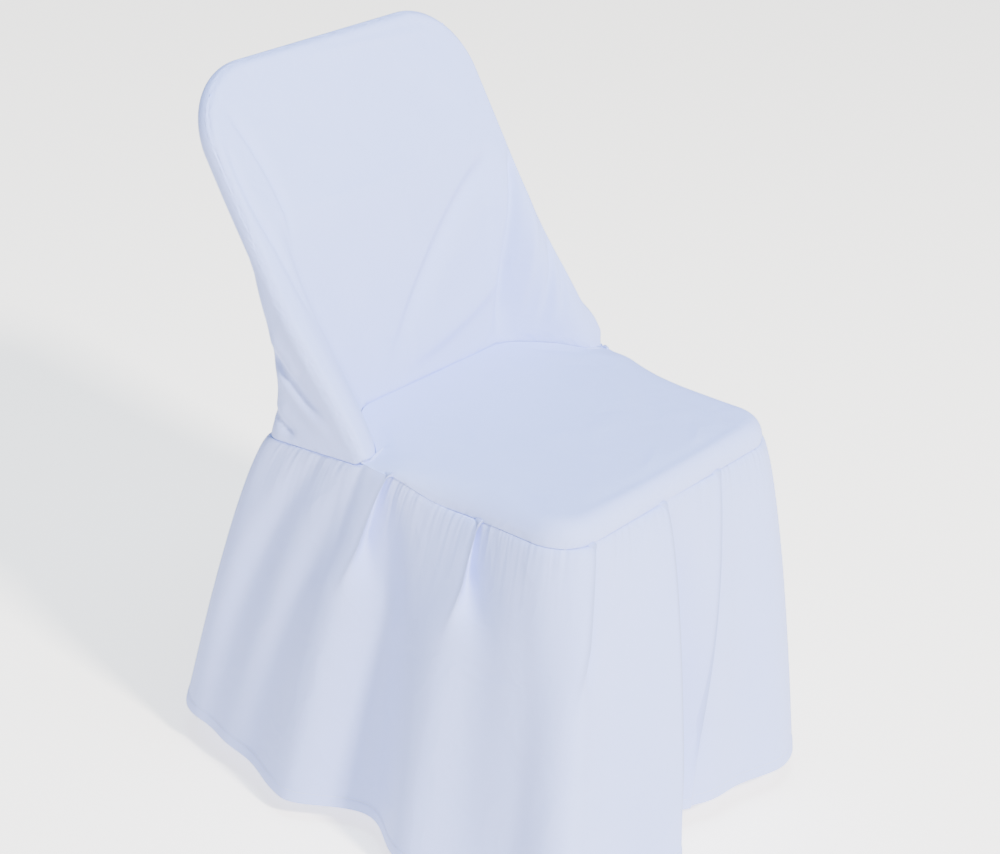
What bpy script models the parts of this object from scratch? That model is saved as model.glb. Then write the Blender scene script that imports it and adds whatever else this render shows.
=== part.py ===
"""Fitted cloth cover in four sewn panels: inside back, outside back, seat and skirt.

The cover is hollow and hangs from one point under the top of its back. Sizes
are metres. Working coordinates have the floor at z = 0, the middle of the seat
panel at x = 0, y = 0 and the front at -Y. The finished panels are moved so
that the hanging point is the origin.
"""
import math

import bpy
import numpy as np

# Seat panel
SEAT_TOP = 0.447
SEAT_HALF = 0.203
SEAT_FRONT = -0.207
SEAT_RADIUS = 0.048
SEAT_EDGE_DROP = 0.029
SEAT_ROLL = 0.016
SEAT_HOLLOW = 0.001
SEAT_HOLLOW_OVER = 0.10
SEAT_LEVEL_OVER = 0.05
SEAT_WIDENS_OVER = 0.16
EDGE_DROP_OVER = 0.12
REAR_CORNER_DROP = 0.008
REAR_CORNER_FROM = 0.165
REAR_CORNER_OVER = 0.055

# Back: a leaning plane with a rounded rim, from its foot (y, z) upward
BACK_FOOT = (0.066, 0.438)
BACK_LEAN = math.radians(34.2)
BACK_HALF = 0.225
BACK_FOOT_HALF = 0.2245
BACK_LENGTH = 0.445
BACK_RADIUS = 0.090
BACK_SHIFT = -0.020
BACK_SHIFT_OVER = 0.20
BACK_WIDENS_OVER = 0.10
BACK_SAG = 0.004
BACK_SAG_OVER = 0.12
RIM_RADIUS = 0.013
RIM_SEAM_ANGLE = math.radians(50.0)
REST_FROM = 0.27

# The lower part of the inside back is pushed back to the seat's rear edge
RECESS_DEPTH = 0.060
RECESS_OUTER = 0.206
RECESS_INNER_LOW = 0.120
RECESS_INNER_HIGH = 0.172
RECESS_LOW = 0.043
RECESS_BELOW = -0.3

# Creases of the inside back: ends across and up the back, bow, half-width, height
BACK_CREASES = (
    (-0.212, 0.380, -0.186, 0.240, -0.010, 0.012, -0.0040),
    (-0.196, 0.265, -0.162, 0.080, 0.010, 0.014, 0.0036),
    (0.160, 0.250, -0.075, 0.070, 0.012, 0.016, -0.0066),
    (0.204, 0.265, 0.114, 0.050, 0.000, 0.012, -0.0070),
    (0.207, 0.230, 0.136, 0.045, 0.000, 0.012, 0.0044),
    (0.210, 0.205, 0.158, 0.045, 0.000, 0.010, -0.0052),
    (0.150, 0.120, -0.055, 0.066, -0.008, 0.018, 0.0034),
    (-0.160, 0.262, 0.095, 0.230, 0.000, 0.030, 0.0030),
)
CREASE_FADE = 0.040

# Creases of the near wing: ends as y and z, bow, half-width, height
WING_CREASES = (
    (0.178, 0.545, 0.138, 0.500, 0.000, 0.016, -0.0040),
    (0.160, 0.520, 0.110, 0.470, 0.000, 0.016, 0.0030),
)

# Slack cloth that stands out of the far rim just above the seat: how far, the
# height it starts from and ends at, and where it fades across and to the rear
BULGE = 0.010
BULGE_LOW = 0.441
BULGE_RISE = 0.014
BULGE_HIGH = 0.492
BULGE_FALL = 0.028
BULGE_INNER = 0.195
BULGE_ACROSS = 0.028
BULGE_REAR = 0.160
BULGE_DEPTH = 0.050

# Cloth
THICKNESS = 0.0020
SEAM_GAP = 0.0003
LEAST_LEVEL = 0.2
WING_REAR_Z = 0.430
WING_FREE_BELOW = 0.32
WING_FREE_OVER = 0.10
HEM_HEIGHT = 0.026
FLARE_POWER = 0.70
SHARP_ANGLE = math.radians(40.0)

# Height of the outside back above the floor, and how far back it hangs there
OUTSIDE_BACK = (
    (0.430, 0.186),
    (0.470, 0.174),
    (0.505, 0.178),
    (0.545, 0.184),
    (0.590, 0.199),
    (0.635, 0.2150),
)

# Corners of the skirt's hem: x, y, height, corner radius
SKIRT_HEM = (
    (-0.270, -0.276, HEM_HEIGHT, 0.085),
    (0.230, -0.286, HEM_HEIGHT + 0.003, 0.085),
    (0.258, 0.090, HEM_HEIGHT + 0.003, 0.080),
    (0.246, 0.298, HEM_HEIGHT + 0.006, 0.060),
    (-0.238, 0.305, HEM_HEIGHT + 0.018, 0.060),
    (-0.260, 0.090, HEM_HEIGHT - 0.003, 0.080),
)
FRONT, RIGHT_SIDE, RIGHT_WING, REAR, LEFT_WING, LEFT_SIDE = range(6)

# Folds of the skirt: the edge of the ring that each lies on, its place along
# that edge at the seam and at the hem, its half-width and height at the hem,
# how far down it starts, the share of its height left at the hem, and the
# width of its steep flank if it is a pleat, 0 if it is a loose fold
SKIRT_FOLDS = (
    # edge, seam, hem, width, height, start, share, flank
    (FRONT, 0.060, 0.010, 0.030, 0.022, 0.00, 1.0, 0.034),
    (FRONT, 0.150, 0.200, 0.036, -0.010, 0.05, 1.0, 0.000),
    (FRONT, 0.392, 0.365, 0.062, 0.034, 0.00, 1.0, 0.020),
    (FRONT, 0.470, 0.500, 0.036, -0.028, 0.04, 1.0, 0.000),
    (FRONT, 0.667, 0.560, 0.030, 0.006, 0.00, 1.0, 0.016),
    (FRONT, 0.780, 0.740, 0.036, -0.010, 0.10, 1.0, 0.000),
    (FRONT, 0.900, 0.880, 0.050, 0.010, 0.05, 1.0, 0.000),
    (RIGHT_SIDE, 0.030, 0.040, 0.034, 0.010, 0.00, 1.0, 0.020),
    (RIGHT_SIDE, 0.200, 0.230, 0.040, -0.014, 0.05, 1.0, 0.000),
    (RIGHT_SIDE, 0.470, 0.480, 0.045, 0.022, 0.00, 1.0, 0.040),
    (RIGHT_SIDE, 0.600, 0.700, 0.036, -0.014, 0.05, 1.0, 0.000),
    (RIGHT_SIDE, 0.930, 0.970, 0.034, 0.016, 0.00, 1.0, 0.020),
    (RIGHT_WING, 0.500, 0.450, 0.030, -0.012, 0.10, 0.8, 0.000),
    (RIGHT_WING, 0.880, 0.800, 0.030, 0.010, 0.10, 0.8, 0.000),
    (REAR, 0.150, 0.160, 0.036, 0.014, 0.12, 1.0, 0.000),
    (REAR, 0.380, 0.360, 0.036, 0.016, 0.08, 1.0, 0.000),
    (REAR, 0.620, 0.640, 0.036, 0.016, 0.08, 1.0, 0.000),
    (REAR, 0.850, 0.840, 0.036, 0.014, 0.12, 1.0, 0.000),
    (LEFT_WING, 0.150, 0.080, 0.030, 0.010, 0.00, 0.6, 0.000),
    (LEFT_WING, 0.480, 0.120, 0.024, 0.010, 0.00, 0.4, 0.000),
    (LEFT_WING, 0.680, 0.150, 0.024, -0.015, 0.00, 0.1, 0.000),
    (LEFT_WING, 0.880, 0.460, 0.028, 0.011, 0.00, 0.8, 0.000),
    (LEFT_SIDE, 0.010, -0.360, 0.026, -0.018, 0.00, 0.1, 0.000),
    (LEFT_SIDE, 0.105, -0.010, 0.056, 0.026, 0.00, 1.0, 0.050),
    (LEFT_SIDE, 0.150, 0.290, 0.036, -0.022, 0.06, 1.0, 0.000),
    (LEFT_SIDE, 0.548, 0.500, 0.056, 0.026, 0.00, 1.0, 0.054),
    (LEFT_SIDE, 0.840, 0.880, 0.026, -0.009, 0.08, 1.0, 0.000),
)

# A fold's slack side and the tuck beyond a pleat, as shares of its width
SLACK_SIDE = 1.3
TUCK_SIDE = 1.7
TUCK_DEPTH = 0.45

# A fold at the seam as a share of its width at the hem, and how fast it opens
FOLD_NARROW = 0.45
FOLD_OPENING = 0.65

# Grid sizes of the panels
BACK_COLUMNS = 37
BACK_ROWS = 25
SEAT_ROWS = 17
SKIRT_COLUMNS = 168
SKIRT_ROWS = (0.0, 0.05, 0.12, 0.21, 0.32, 0.45, 0.60, 0.75, 0.88, 1.0)
SEAT_EDGE_STEPS = 24
RUN_STEPS = 40
SOLVER_STEPS = 40
SEAM_LOOK = 0.7

# The cover hangs from here: under the cloth, at the middle of the back's top
HANG_ALONG = BACK_LENGTH - THICKNESS


def smooth(value):
    """Smooth step from 0 to 1 as value goes from 0 to 1."""
    t = min(max(value, 0.0), 1.0)
    return t * t * (3.0 - 2.0 * t)


def mix(a, b, t):
    """Straight blend from a to b."""
    return a + (b - a) * t


SINE = math.sin(BACK_LEAN)
COSINE = math.cos(BACK_LEAN)


def back_point(x, along, out):
    """Point given across the back, up along it and out of its plane to the front."""
    y = BACK_FOOT[0] + along * SINE - out * COSINE
    z = BACK_FOOT[1] + along * COSINE + out * SINE
    return np.array((x, y, z))


def back_half(along):
    """Half-width of the back, a little narrower at its foot."""
    return mix(BACK_FOOT_HALF, BACK_HALF, smooth(along / BACK_WIDENS_OVER))


def back_middle(along):
    """The cover sits a little to one side on the upper back."""
    return BACK_SHIFT * smooth(along / BACK_SHIFT_OVER)


def inset_depth(x, along):
    """Distance of a point of the back inside the back's rounded outline."""
    side = abs(x - back_middle(along))
    over_x = side - (back_half(along) - BACK_RADIUS)
    over_s = along - (BACK_LENGTH - BACK_RADIUS)
    if over_x > 0.0 and over_s > 0.0:
        return BACK_RADIUS - math.hypot(over_x, over_s)
    return min(back_half(along) - side, BACK_LENGTH - along)


def inside_back_out(x, along):
    """How far the inside back stands out of the back's plane."""
    inset = min(max(inset_depth(x, along), 0.0), RIM_RADIUS)
    rim = math.sqrt(max(RIM_RADIUS ** 2 - (RIM_RADIUS - inset) ** 2, 0.0))
    height = (along - RECESS_LOW) / (REST_FROM - RECESS_LOW)
    low = 1.0 - min(max(height, RECESS_BELOW), 1.0)
    inner = mix(RECESS_INNER_LOW, RECESS_INNER_HIGH, min(max(height, 0.0), 1.0))
    side = abs(x - back_middle(along))
    across = smooth((RECESS_OUTER - side) / (RECESS_OUTER - inner))
    sag = BACK_SAG * smooth(inset_depth(x, along) / BACK_SAG_OVER)
    return rim - sag - RECESS_DEPTH * low * across


def seat_rear_height(x):
    """Height of the seam between seat and inside back."""
    return SEAT_TOP - REAR_CORNER_DROP * smooth((abs(x) - REAR_CORNER_FROM) / REAR_CORNER_OVER)


def seat_seam_along(x):
    """Where on the inside back its lower seam lies."""
    along = RECESS_LOW
    for _ in range(SOLVER_STEPS):
        out = inside_back_out(x, along)
        along = (seat_rear_height(x) - BACK_FOOT[1] - out * SINE) / COSINE
    return along


def frame_path(half, end, radius, start, inset, edge, place):
    """Point on a rounded frame: up one side, round the corner, along the end.

    half gives the frame's half-width at a height; place runs from 0 to 1
    along a side from its start, or along the end from left to right.
    """
    round_from = end - radius
    corner = radius - inset
    straight = round_from - start
    quarter = corner * math.pi / 4.0
    if edge == "end":
        flat = half(round_from) - radius
        length = 2.0 * (flat + quarter)
        distance = place * length - length / 2.0
        if abs(distance) <= flat:
            return distance, end - inset
        angle = (abs(distance) - flat) / corner
        x = flat + corner * math.sin(angle)
        return math.copysign(x, distance), round_from + corner * math.cos(angle)
    distance = place * (straight + quarter)
    if distance <= straight:
        height = start + distance
        x = half(height) - inset
    else:
        angle = (distance - straight) / corner
        x = half(round_from) - radius + corner * math.cos(angle)
        height = round_from + corner * math.sin(angle)
    return (-x if edge == "left" else x), height


def coons(grid, low_row, high_row, low_col, high_col):
    """Fill the inside of a grid from its four edges."""
    rows = high_row - low_row
    cols = high_col - low_col
    for j in range(low_row + 1, high_row):
        v = (j - low_row) / rows
        for i in range(low_col + 1, high_col):
            u = (i - low_col) / cols
            ruled_v = mix(grid[low_row, i], grid[high_row, i], v)
            ruled_u = mix(grid[j, low_col], grid[j, high_col], u)
            low = mix(grid[low_row, low_col], grid[low_row, high_col], u)
            high = mix(grid[high_row, low_col], grid[high_row, high_col], u)
            grid[j, i] = ruled_v + ruled_u - mix(low, high, v)


def framed_grid(columns, rows, rings, ring_point, foot_point):
    """Grid whose outer rings run up the left side, along the end and down the right side."""
    sample = ring_point(0, "left", 0.0)
    grid = np.zeros((rows, columns, len(sample)))
    for k in range(rings):
        top = rows - 1 - k
        for j in range(top + 1):
            grid[j, k] = ring_point(k, "left", j / top)
            grid[j, columns - 1 - k] = ring_point(k, "right", j / top)
        for i in range(k + 1, columns - 1 - k):
            grid[top, i] = ring_point(k, "end", (i - k) / (columns - 1 - 2 * k))
    last = rings - 1
    for i in range(last + 1, columns - 1 - last):
        place = (i - last) / (columns - 1 - 2 * last)
        grid[0, i] = foot_point(place, grid[0, last], grid[0, columns - 1 - last])
    coons(grid, 0, rows - 1 - last, last, columns - 1 - last)
    return grid


def grid_normals(grid, closed):
    """Outward normals of a grid of points."""
    if closed:
        across = np.roll(grid, -1, axis=1) - np.roll(grid, 1, axis=1)
    else:
        across = np.gradient(grid, axis=1)
    along = np.gradient(grid, axis=0)
    normals = np.cross(across, along)
    length = np.linalg.norm(normals, axis=2, keepdims=True)
    return normals / np.maximum(length, 1e-12)


# Each corner of a grid with the point diagonally inside it
GRID_CORNERS = (
    ((0, 0), (1, 1)),
    ((0, -1), (1, -2)),
    ((-1, 0), (-2, 1)),
    ((-1, -1), (-2, -2)),
)


def pull_in(grid, closed):
    """Draw the panel's edges in by half the seam gap."""
    half = SEAM_GAP / 2.0
    edges = [((0, slice(None)), (1, slice(None))), ((-1, slice(None)), (-2, slice(None)))]
    if not closed:
        edges += [((slice(None), 0), (slice(None), 1)), ((slice(None), -1), (slice(None), -2))]
    moved = grid.copy()
    for edge, inner in edges:
        step = grid[inner] - grid[edge]
        moved[edge] += step / np.linalg.norm(step, axis=-1, keepdims=True) * half
    if not closed:
        for corner, inner in GRID_CORNERS:
            step = grid[inner] - grid[corner]
            moved[corner] = grid[corner] + step / np.linalg.norm(step) * half * math.sqrt(2.0)
    return moved


def sheet_object(name, grid, flip, closed, material, level_edges, rim_normals=None):
    """One closed solid: the grid's outer face, its inner face and the cut edges between.

    The cut edges named as level are square to the upright, where two panels
    meet one above the other.
    """
    normals = grid_normals(grid, closed)
    if flip:
        normals = -normals
    for edge in level_edges:
        level = normals[edge] * (1.0, 1.0, 0.0)
        length = np.linalg.norm(level, axis=-1)
        for end, beside in ((0, 1), (-1, -2)):
            if length[end] < LEAST_LEVEL:
                level[end] = level[beside]
                length[end] = length[beside]
        normals[edge] = level / length[:, None]
    if rim_normals is not None:
        for edge in RIM_EDGES:
            normals[edge] = rim_normals[edge]
    grid = pull_in(grid, closed)
    inner = grid - normals * THICKNESS
    rows, cols = grid.shape[:2]
    points = np.concatenate((grid.reshape(-1, 3), inner.reshape(-1, 3))) - HANG_POINT
    offset = rows * cols
    faces = []
    spans = cols if closed else cols - 1
    for j in range(rows - 1):
        for i in range(spans):
            a = j * cols + i
            b = j * cols + (i + 1) % cols
            outer_face = (a, b, b + cols, a + cols)
            faces.append(outer_face)
            faces.append(tuple(offset + v for v in reversed(outer_face)))
    for i in range(spans):
        following = (i + 1) % cols
        last = (rows - 1) * cols
        faces.append((following, i, offset + i, offset + following))
        faces.append((last + i, last + following, offset + last + following, offset + last + i))
    if not closed:
        for j in range(rows - 1):
            a = j * cols
            b = a + cols - 1
            faces.append((a, a + cols, offset + a + cols, offset + a))
            faces.append((b + cols, b, offset + b, offset + b + cols))
    if flip:
        faces = [tuple(reversed(face)) for face in faces]
    mesh = bpy.data.meshes.new(name)
    mesh.from_pydata(points.tolist(), [], faces)
    mesh.update()
    mesh.shade_smooth()
    mesh.set_sharp_from_angle(angle=SHARP_ANGLE)
    mesh.materials.append(material)
    panel = bpy.data.objects.new(name, mesh)
    bpy.context.scene.collection.objects.link(panel)
    return panel


def cloth_material(name, colour):
    """Matt white polyester."""
    material = bpy.data.materials.new(name)
    material.use_nodes = True
    shader = material.node_tree.nodes["Principled BSDF"]
    shader.inputs["Base Color"].default_value = (*colour, 1.0)
    shader.inputs["Roughness"].default_value = 0.8
    shader.inputs["Metallic"].default_value = 0.0
    return material


HANG_POINT = back_point(BACK_SHIFT, HANG_ALONG, 0.0)
ALL = slice(None)
FOOT_EDGE = (0, ALL)
RIM_EDGES = ((ALL, 0), (ALL, -1), (-1, ALL))


def rim_seam_normals(columns, rows):
    """Outward directions along the rim seam, shared by the two back panels."""
    foot = seat_seam_along(BACK_FOOT_HALF - INSIDE_INSETS[0])
    normals = np.zeros((rows, columns, 3))

    def normal(edge, place):
        near = frame_path(back_half, BACK_LENGTH, BACK_RADIUS, foot, INSIDE_INSETS[0], edge, place)
        far = frame_path(back_half, BACK_LENGTH, BACK_RADIUS, foot, 0.0, edge, place)
        side = np.array((far[0] - near[0], far[1] - near[1]))
        side /= np.linalg.norm(side)
        across = math.sin(RIM_SEAM_ANGLE)
        tip = back_point(side[0] * across, side[1] * across, math.cos(RIM_SEAM_ANGLE))
        return tip - back_point(0.0, 0.0, 0.0)

    for j in range(rows):
        normals[j, 0] = normal("left", j / (rows - 1))
        normals[j, -1] = normal("right", j / (rows - 1))
    for i in range(1, columns - 1):
        normals[-1, i] = normal("end", i / (columns - 1))
    return normals


# Inside back: over the front of the back, pushed in above the seat
INSIDE_INSETS = (
    RIM_RADIUS * (1.0 - math.sin(RIM_SEAM_ANGLE)),
    0.55 * RIM_RADIUS,
    RIM_RADIUS,
)


def crease(first, second, row):
    """Height of one crease at a point of a flat panel, from its two ends and bow."""
    a_first, a_second, b_first, b_second, bow, half_width, height = row
    run = (b_first - a_first, b_second - a_second)
    length = math.hypot(*run)
    along = ((first - a_first) * run[0] + (second - a_second) * run[1]) / length
    across = ((first - a_first) * run[1] - (second - a_second) * run[0]) / length
    middle = 2.0 * along / length - 1.0
    off = across - bow * (1.0 - middle * middle)
    beyond = max(abs(middle) - 1.0, 0.0) * length / 2.0
    return height * math.exp(-(off * off + beyond * beyond) / half_width ** 2)


def bulged(point):
    """Point of the back's panels, moved out by the slack at the far rim."""
    x, y, z = point
    low = smooth((z - BULGE_LOW) / BULGE_RISE) * smooth((BULGE_HIGH - z) / BULGE_FALL)
    near = smooth((x - BULGE_INNER) / BULGE_ACROSS) * smooth((BULGE_REAR - y) / BULGE_DEPTH)
    return point + np.array((BULGE * low * near, 0.0, 0.0))


def inside_back_grid(columns, rows):
    """Inside back panel as a grid of points."""
    def ring_point(k, edge, place):
        inset = INSIDE_INSETS[k]
        foot = seat_seam_along(BACK_FOOT_HALF - inset)
        x, along = frame_path(back_half, BACK_LENGTH, BACK_RADIUS, foot, inset, edge, place)
        return np.array((x + back_middle(along), along))

    def foot_point(place, left, right):
        x = mix(left[0], right[0], place)
        return np.array((x, seat_seam_along(x)))

    flat = framed_grid(columns, rows, len(INSIDE_INSETS), ring_point, foot_point)
    grid = np.zeros((rows, columns, 3))
    for j in range(rows):
        for i in range(columns):
            x, along = flat[j, i]
            fade = smooth(inset_depth(x, along) / CREASE_FADE)
            fade *= smooth((along - seat_seam_along(x)) / CREASE_FADE)
            creased = fade * sum(crease(x, along, row) for row in BACK_CREASES)
            grid[j, i] = bulged(back_point(x, along, inside_back_out(x, along) + creased))
    return grid


# Outside back: from the rim seam round the sides, down to the skirt's seam
def outside_back_y(height):
    """How far back the outside back hangs at a height above the floor."""
    heights = [row[0] for row in OUTSIDE_BACK]
    depths = [row[1] for row in OUTSIDE_BACK]
    return float(np.interp(height, heights, depths))


def wing_section(depth, corner, place):
    """Inset and depth behind the back's plane, along the wrap from seam to rear face."""
    front_arc = RIM_RADIUS * (math.pi / 2.0 - RIM_SEAM_ANGLE)
    side = depth - corner
    length = front_arc + side + corner * math.pi / 2.0
    distance = place * length
    if distance <= front_arc:
        angle = RIM_SEAM_ANGLE + distance / RIM_RADIUS
        return RIM_RADIUS * (1.0 - math.sin(angle)), -RIM_RADIUS * math.cos(angle)
    if distance <= front_arc + side:
        return 0.0, distance - front_arc
    angle = (distance - front_arc - side) / corner
    return corner * (1.0 - math.cos(angle)), side + corner * math.sin(angle)


OUTSIDE_RINGS = 7
OUTSIDE_CORNER = 0.020
WING_LEVEL_FROM = 0.15
WING_SPREAD = 0.012


def outside_back_grid(columns, rows):
    """Outside back panel as a grid of points."""
    foot = seat_seam_along(BACK_FOOT_HALF - INSIDE_INSETS[0])

    def ring_point(k, edge, place):
        _, along = frame_path(back_half, BACK_LENGTH, BACK_RADIUS, foot, 0.0, edge, place)
        plane = back_point(0.0, along, 0.0)
        free = smooth((WING_FREE_BELOW - along) / WING_FREE_OVER)
        low = max(1.0 - (along - foot) / WING_LEVEL_FROM, 0.0)
        drop = (back_point(0.0, foot, 0.0)[2] - WING_REAR_Z) * low
        hangs = outside_back_y(plane[2] - drop) - plane[1]
        depth = mix(RIM_RADIUS, max(hangs, RIM_RADIUS), free)
        corner = mix(RIM_RADIUS, min(OUTSIDE_CORNER, depth), free)
        inset, behind = wing_section(depth, corner, k / (OUTSIDE_RINGS - 1))
        x, along = frame_path(back_half, BACK_LENGTH, BACK_RADIUS, foot, inset, edge, place)
        if behind <= 0.0:
            return back_point(x + back_middle(along), along, -behind)
        spread = WING_SPREAD * behind / depth * low
        x += math.copysign(spread, x) + back_middle(along)
        point = back_point(x, along, -behind * (1.0 - free))
        point[1] += behind * free
        point[2] -= drop * behind / depth
        return point

    def foot_point(place, left, right):
        return mix(left, right, place)

    grid = framed_grid(columns, rows, OUTSIDE_RINGS, ring_point, foot_point)
    for j in range(rows):
        for k in range(OUTSIDE_RINGS):
            _, y, z = grid[j, k]
            from_seam = smooth(k / OUTSIDE_RINGS) * smooth((z - WING_REAR_Z) / CREASE_FADE)
            grid[j, k, 0] -= from_seam * sum(crease(y, z, row) for row in WING_CREASES)
            grid[j, columns - 1 - k] = bulged(grid[j, columns - 1 - k])
    return grid


# Seat: flat top, rolled over the front and the sides
SEAT_INSETS = (0.0, 0.0030, SEAT_ROLL)
SIDE_ROLL = 2.1
CORNER_ROLL = 1.5
CORNER_POWER = 6


def seat_half(forward):
    """Half-width of the seat, wider towards the back."""
    widening = smooth(1.0 - (forward + BACK_FOOT[0]) / SEAT_WIDENS_OVER)
    return mix(SEAT_HALF, BACK_FOOT_HALF - INSIDE_INSETS[0], widening)


def seat_grid(columns, rows):
    """Seat panel as a grid of points, its rows running forward from the rear seam."""
    corner_x = BACK_FOOT_HALF - INSIDE_INSETS[0]
    foot = seat_rear_y(corner_x)

    def ring_point(k, edge, place):
        inset = SEAT_INSETS[k]
        if edge == "end":
            wider = mix(1.0, CORNER_ROLL, abs(2.0 * place - 1.0) ** CORNER_POWER)
        else:
            wider = mix(SIDE_ROLL, CORNER_ROLL, place ** CORNER_POWER)
        drawn = inset * wider
        x, forward = frame_path(seat_half, -SEAT_FRONT, SEAT_RADIUS, -foot, drawn, edge, place)
        if edge != "end" and place == 0.0:
            x = math.copysign(BACK_FOOT_HALF - INSIDE_INSETS[k], x)
            forward = -seat_rear_y(x)
        return np.array((x, forward, inset))

    def foot_point(place, left, right):
        x = mix(left[0], right[0], place)
        return np.array((x, -seat_rear_y(x), SEAT_ROLL))

    flat = framed_grid(columns, rows, len(SEAT_INSETS), ring_point, foot_point)
    grid = np.zeros((rows, columns, 3))
    for j in range(rows):
        for i in range(columns):
            x, forward, inset = flat[j, i]
            grid[j, i] = (x, -forward, seat_height(x, forward, inset))
    return grid


def seat_height(x, forward, inset):
    """Height of the seat's cloth, rolled down to the skirt's seam at its edges."""
    from_rear = forward + seat_rear_y(x)
    level = mix(seat_rear_height(x), SEAT_TOP, smooth(from_rear / SEAT_LEVEL_OVER))
    level -= SEAT_HOLLOW * smooth(inset / SEAT_ROLL) * smooth(from_rear / SEAT_HOLLOW_OVER)
    roll = min(max(1.0 - inset / SEAT_ROLL, 0.0), 1.0)
    drop = SEAT_EDGE_DROP * smooth((forward + BACK_FOOT[0]) / EDGE_DROP_OVER)
    return level - drop * (1.0 - math.sqrt(1.0 - roll * roll))


def seat_rear_y(x):
    """Rear edge of the seat."""
    along = seat_seam_along(x)
    return back_point(x, along, inside_back_out(x, along))[1]


# Skirt: a pleated ring, sewn under the seat's edge and the outside back
def rounded_corner_point(corners, number, edge, place):
    """Point on a rounded ring of corners, from the middle of one round to the next."""
    before, start, end, after = (np.array(corners[(edge + k) % number]) for k in (-1, 0, 1, 2))

    def round_of(previous, corner, following):
        into = corner[:2] - previous[:2]
        out = following[:2] - corner[:2]
        into /= np.linalg.norm(into)
        out /= np.linalg.norm(out)
        turn = math.acos(min(max(float(into @ out), -1.0), 1.0))
        return out, turn, corner[3] * math.tan(turn / 2.0)

    out, turn, cut = round_of(before, start, end)
    _, next_turn, next_cut = round_of(start, end, after)
    straight = float(np.linalg.norm(end[:2] - start[:2])) - cut - next_cut
    first = start[3] * turn / 2.0
    second = end[3] * next_turn / 2.0
    distance = place * (first + straight + second)
    height = mix(start[2], end[2], place)
    side = np.array((out[1], -out[0]))
    if distance < first:
        angle = (first - distance) / start[3]
        centre = start[:2] + out * cut - side * start[3]
        flat = centre + start[3] * (side * math.cos(angle) - out * math.sin(angle))
    elif distance <= first + straight:
        flat = start[:2] + out * (cut + distance - first)
    else:
        angle = (distance - first - straight) / end[3]
        centre = end[:2] - out * next_cut - side * end[3]
        flat = centre + end[3] * (side * math.cos(angle) + out * math.sin(angle))
    return np.array((flat[0], flat[1], height))


def seam_edges(outside):
    """The skirt's sewn edge as six runs of points, one for each edge of the ring."""
    corner_x = BACK_FOOT_HALF - INSIDE_INSETS[0]
    foot = -seat_rear_y(corner_x)

    def seat_edge(edge, low, high):
        run = []
        for k in range(SEAT_EDGE_STEPS + 1):
            place = mix(low, high, k / SEAT_EDGE_STEPS)
            x, forward = frame_path(seat_half, -SEAT_FRONT, SEAT_RADIUS, foot, 0.0, edge, place)
            run.append((x, -forward, seat_height(x, forward, 0.0)))
        return np.array(run)

    wing = outside[0]
    rings = OUTSIDE_RINGS - 1
    return [
        seat_edge("end", 0.0, 1.0),
        seat_edge("right", 1.0, 0.0),
        wing[::-1][:rings + 1],
        wing[::-1][rings:-rings],
        wing[:rings + 1][::-1],
        seat_edge("left", 0.0, 1.0),
    ]


def run_point(run, place):
    """Point at a share of a run's length."""
    steps = np.linalg.norm(np.diff(run, axis=0), axis=1)
    marks = np.concatenate(([0.0], np.cumsum(steps)))
    distance = place * marks[-1]
    return np.array([np.interp(distance, marks, run[:, k]) for k in range(3)])


def fold_shape(distance, spread, flank):
    """Profile of one fold across the cloth, 1 at its crest."""
    slack = math.exp(-(distance / (SLACK_SIDE * spread)) ** 2)
    if distance < 0.0 or not flank:
        return slack
    crest = (1.0 + TUCK_DEPTH) * math.exp(-(distance / flank) ** 2)
    return crest - TUCK_DEPTH * math.exp(-(distance / (TUCK_SIDE * spread)) ** 2)


def ring_places(outside, columns):
    """Columns of the skirt, evenly spaced along the hem: edge, place on it, and lengths."""
    edges = len(SKIRT_HEM)
    runs = seam_edges(outside)
    seam_length = np.zeros(edges * RUN_STEPS + 1)
    hem_length = np.zeros(edges * RUN_STEPS + 1)
    old_seam = run_point(runs[0], 0.0)
    old_hem = rounded_corner_point(SKIRT_HEM, edges, 0, 0.0)
    for k in range(1, edges * RUN_STEPS + 1):
        edge, step = divmod(k, RUN_STEPS)
        if edge == edges:
            edge, step = edges - 1, RUN_STEPS
        seam = run_point(runs[edge], step / RUN_STEPS)
        hem = rounded_corner_point(SKIRT_HEM, edges, edge, step / RUN_STEPS)
        seam_length[k] = seam_length[k - 1] + np.linalg.norm(seam - old_seam)
        hem_length[k] = hem_length[k - 1] + np.linalg.norm(hem - old_hem)
        old_seam, old_hem = seam, hem
    marks = np.linspace(0.0, edges, edges * RUN_STEPS + 1)
    even = np.linspace(0.0, hem_length[-1], columns, endpoint=False)
    return runs, marks, seam_length, hem_length, np.interp(even, hem_length, marks)


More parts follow.
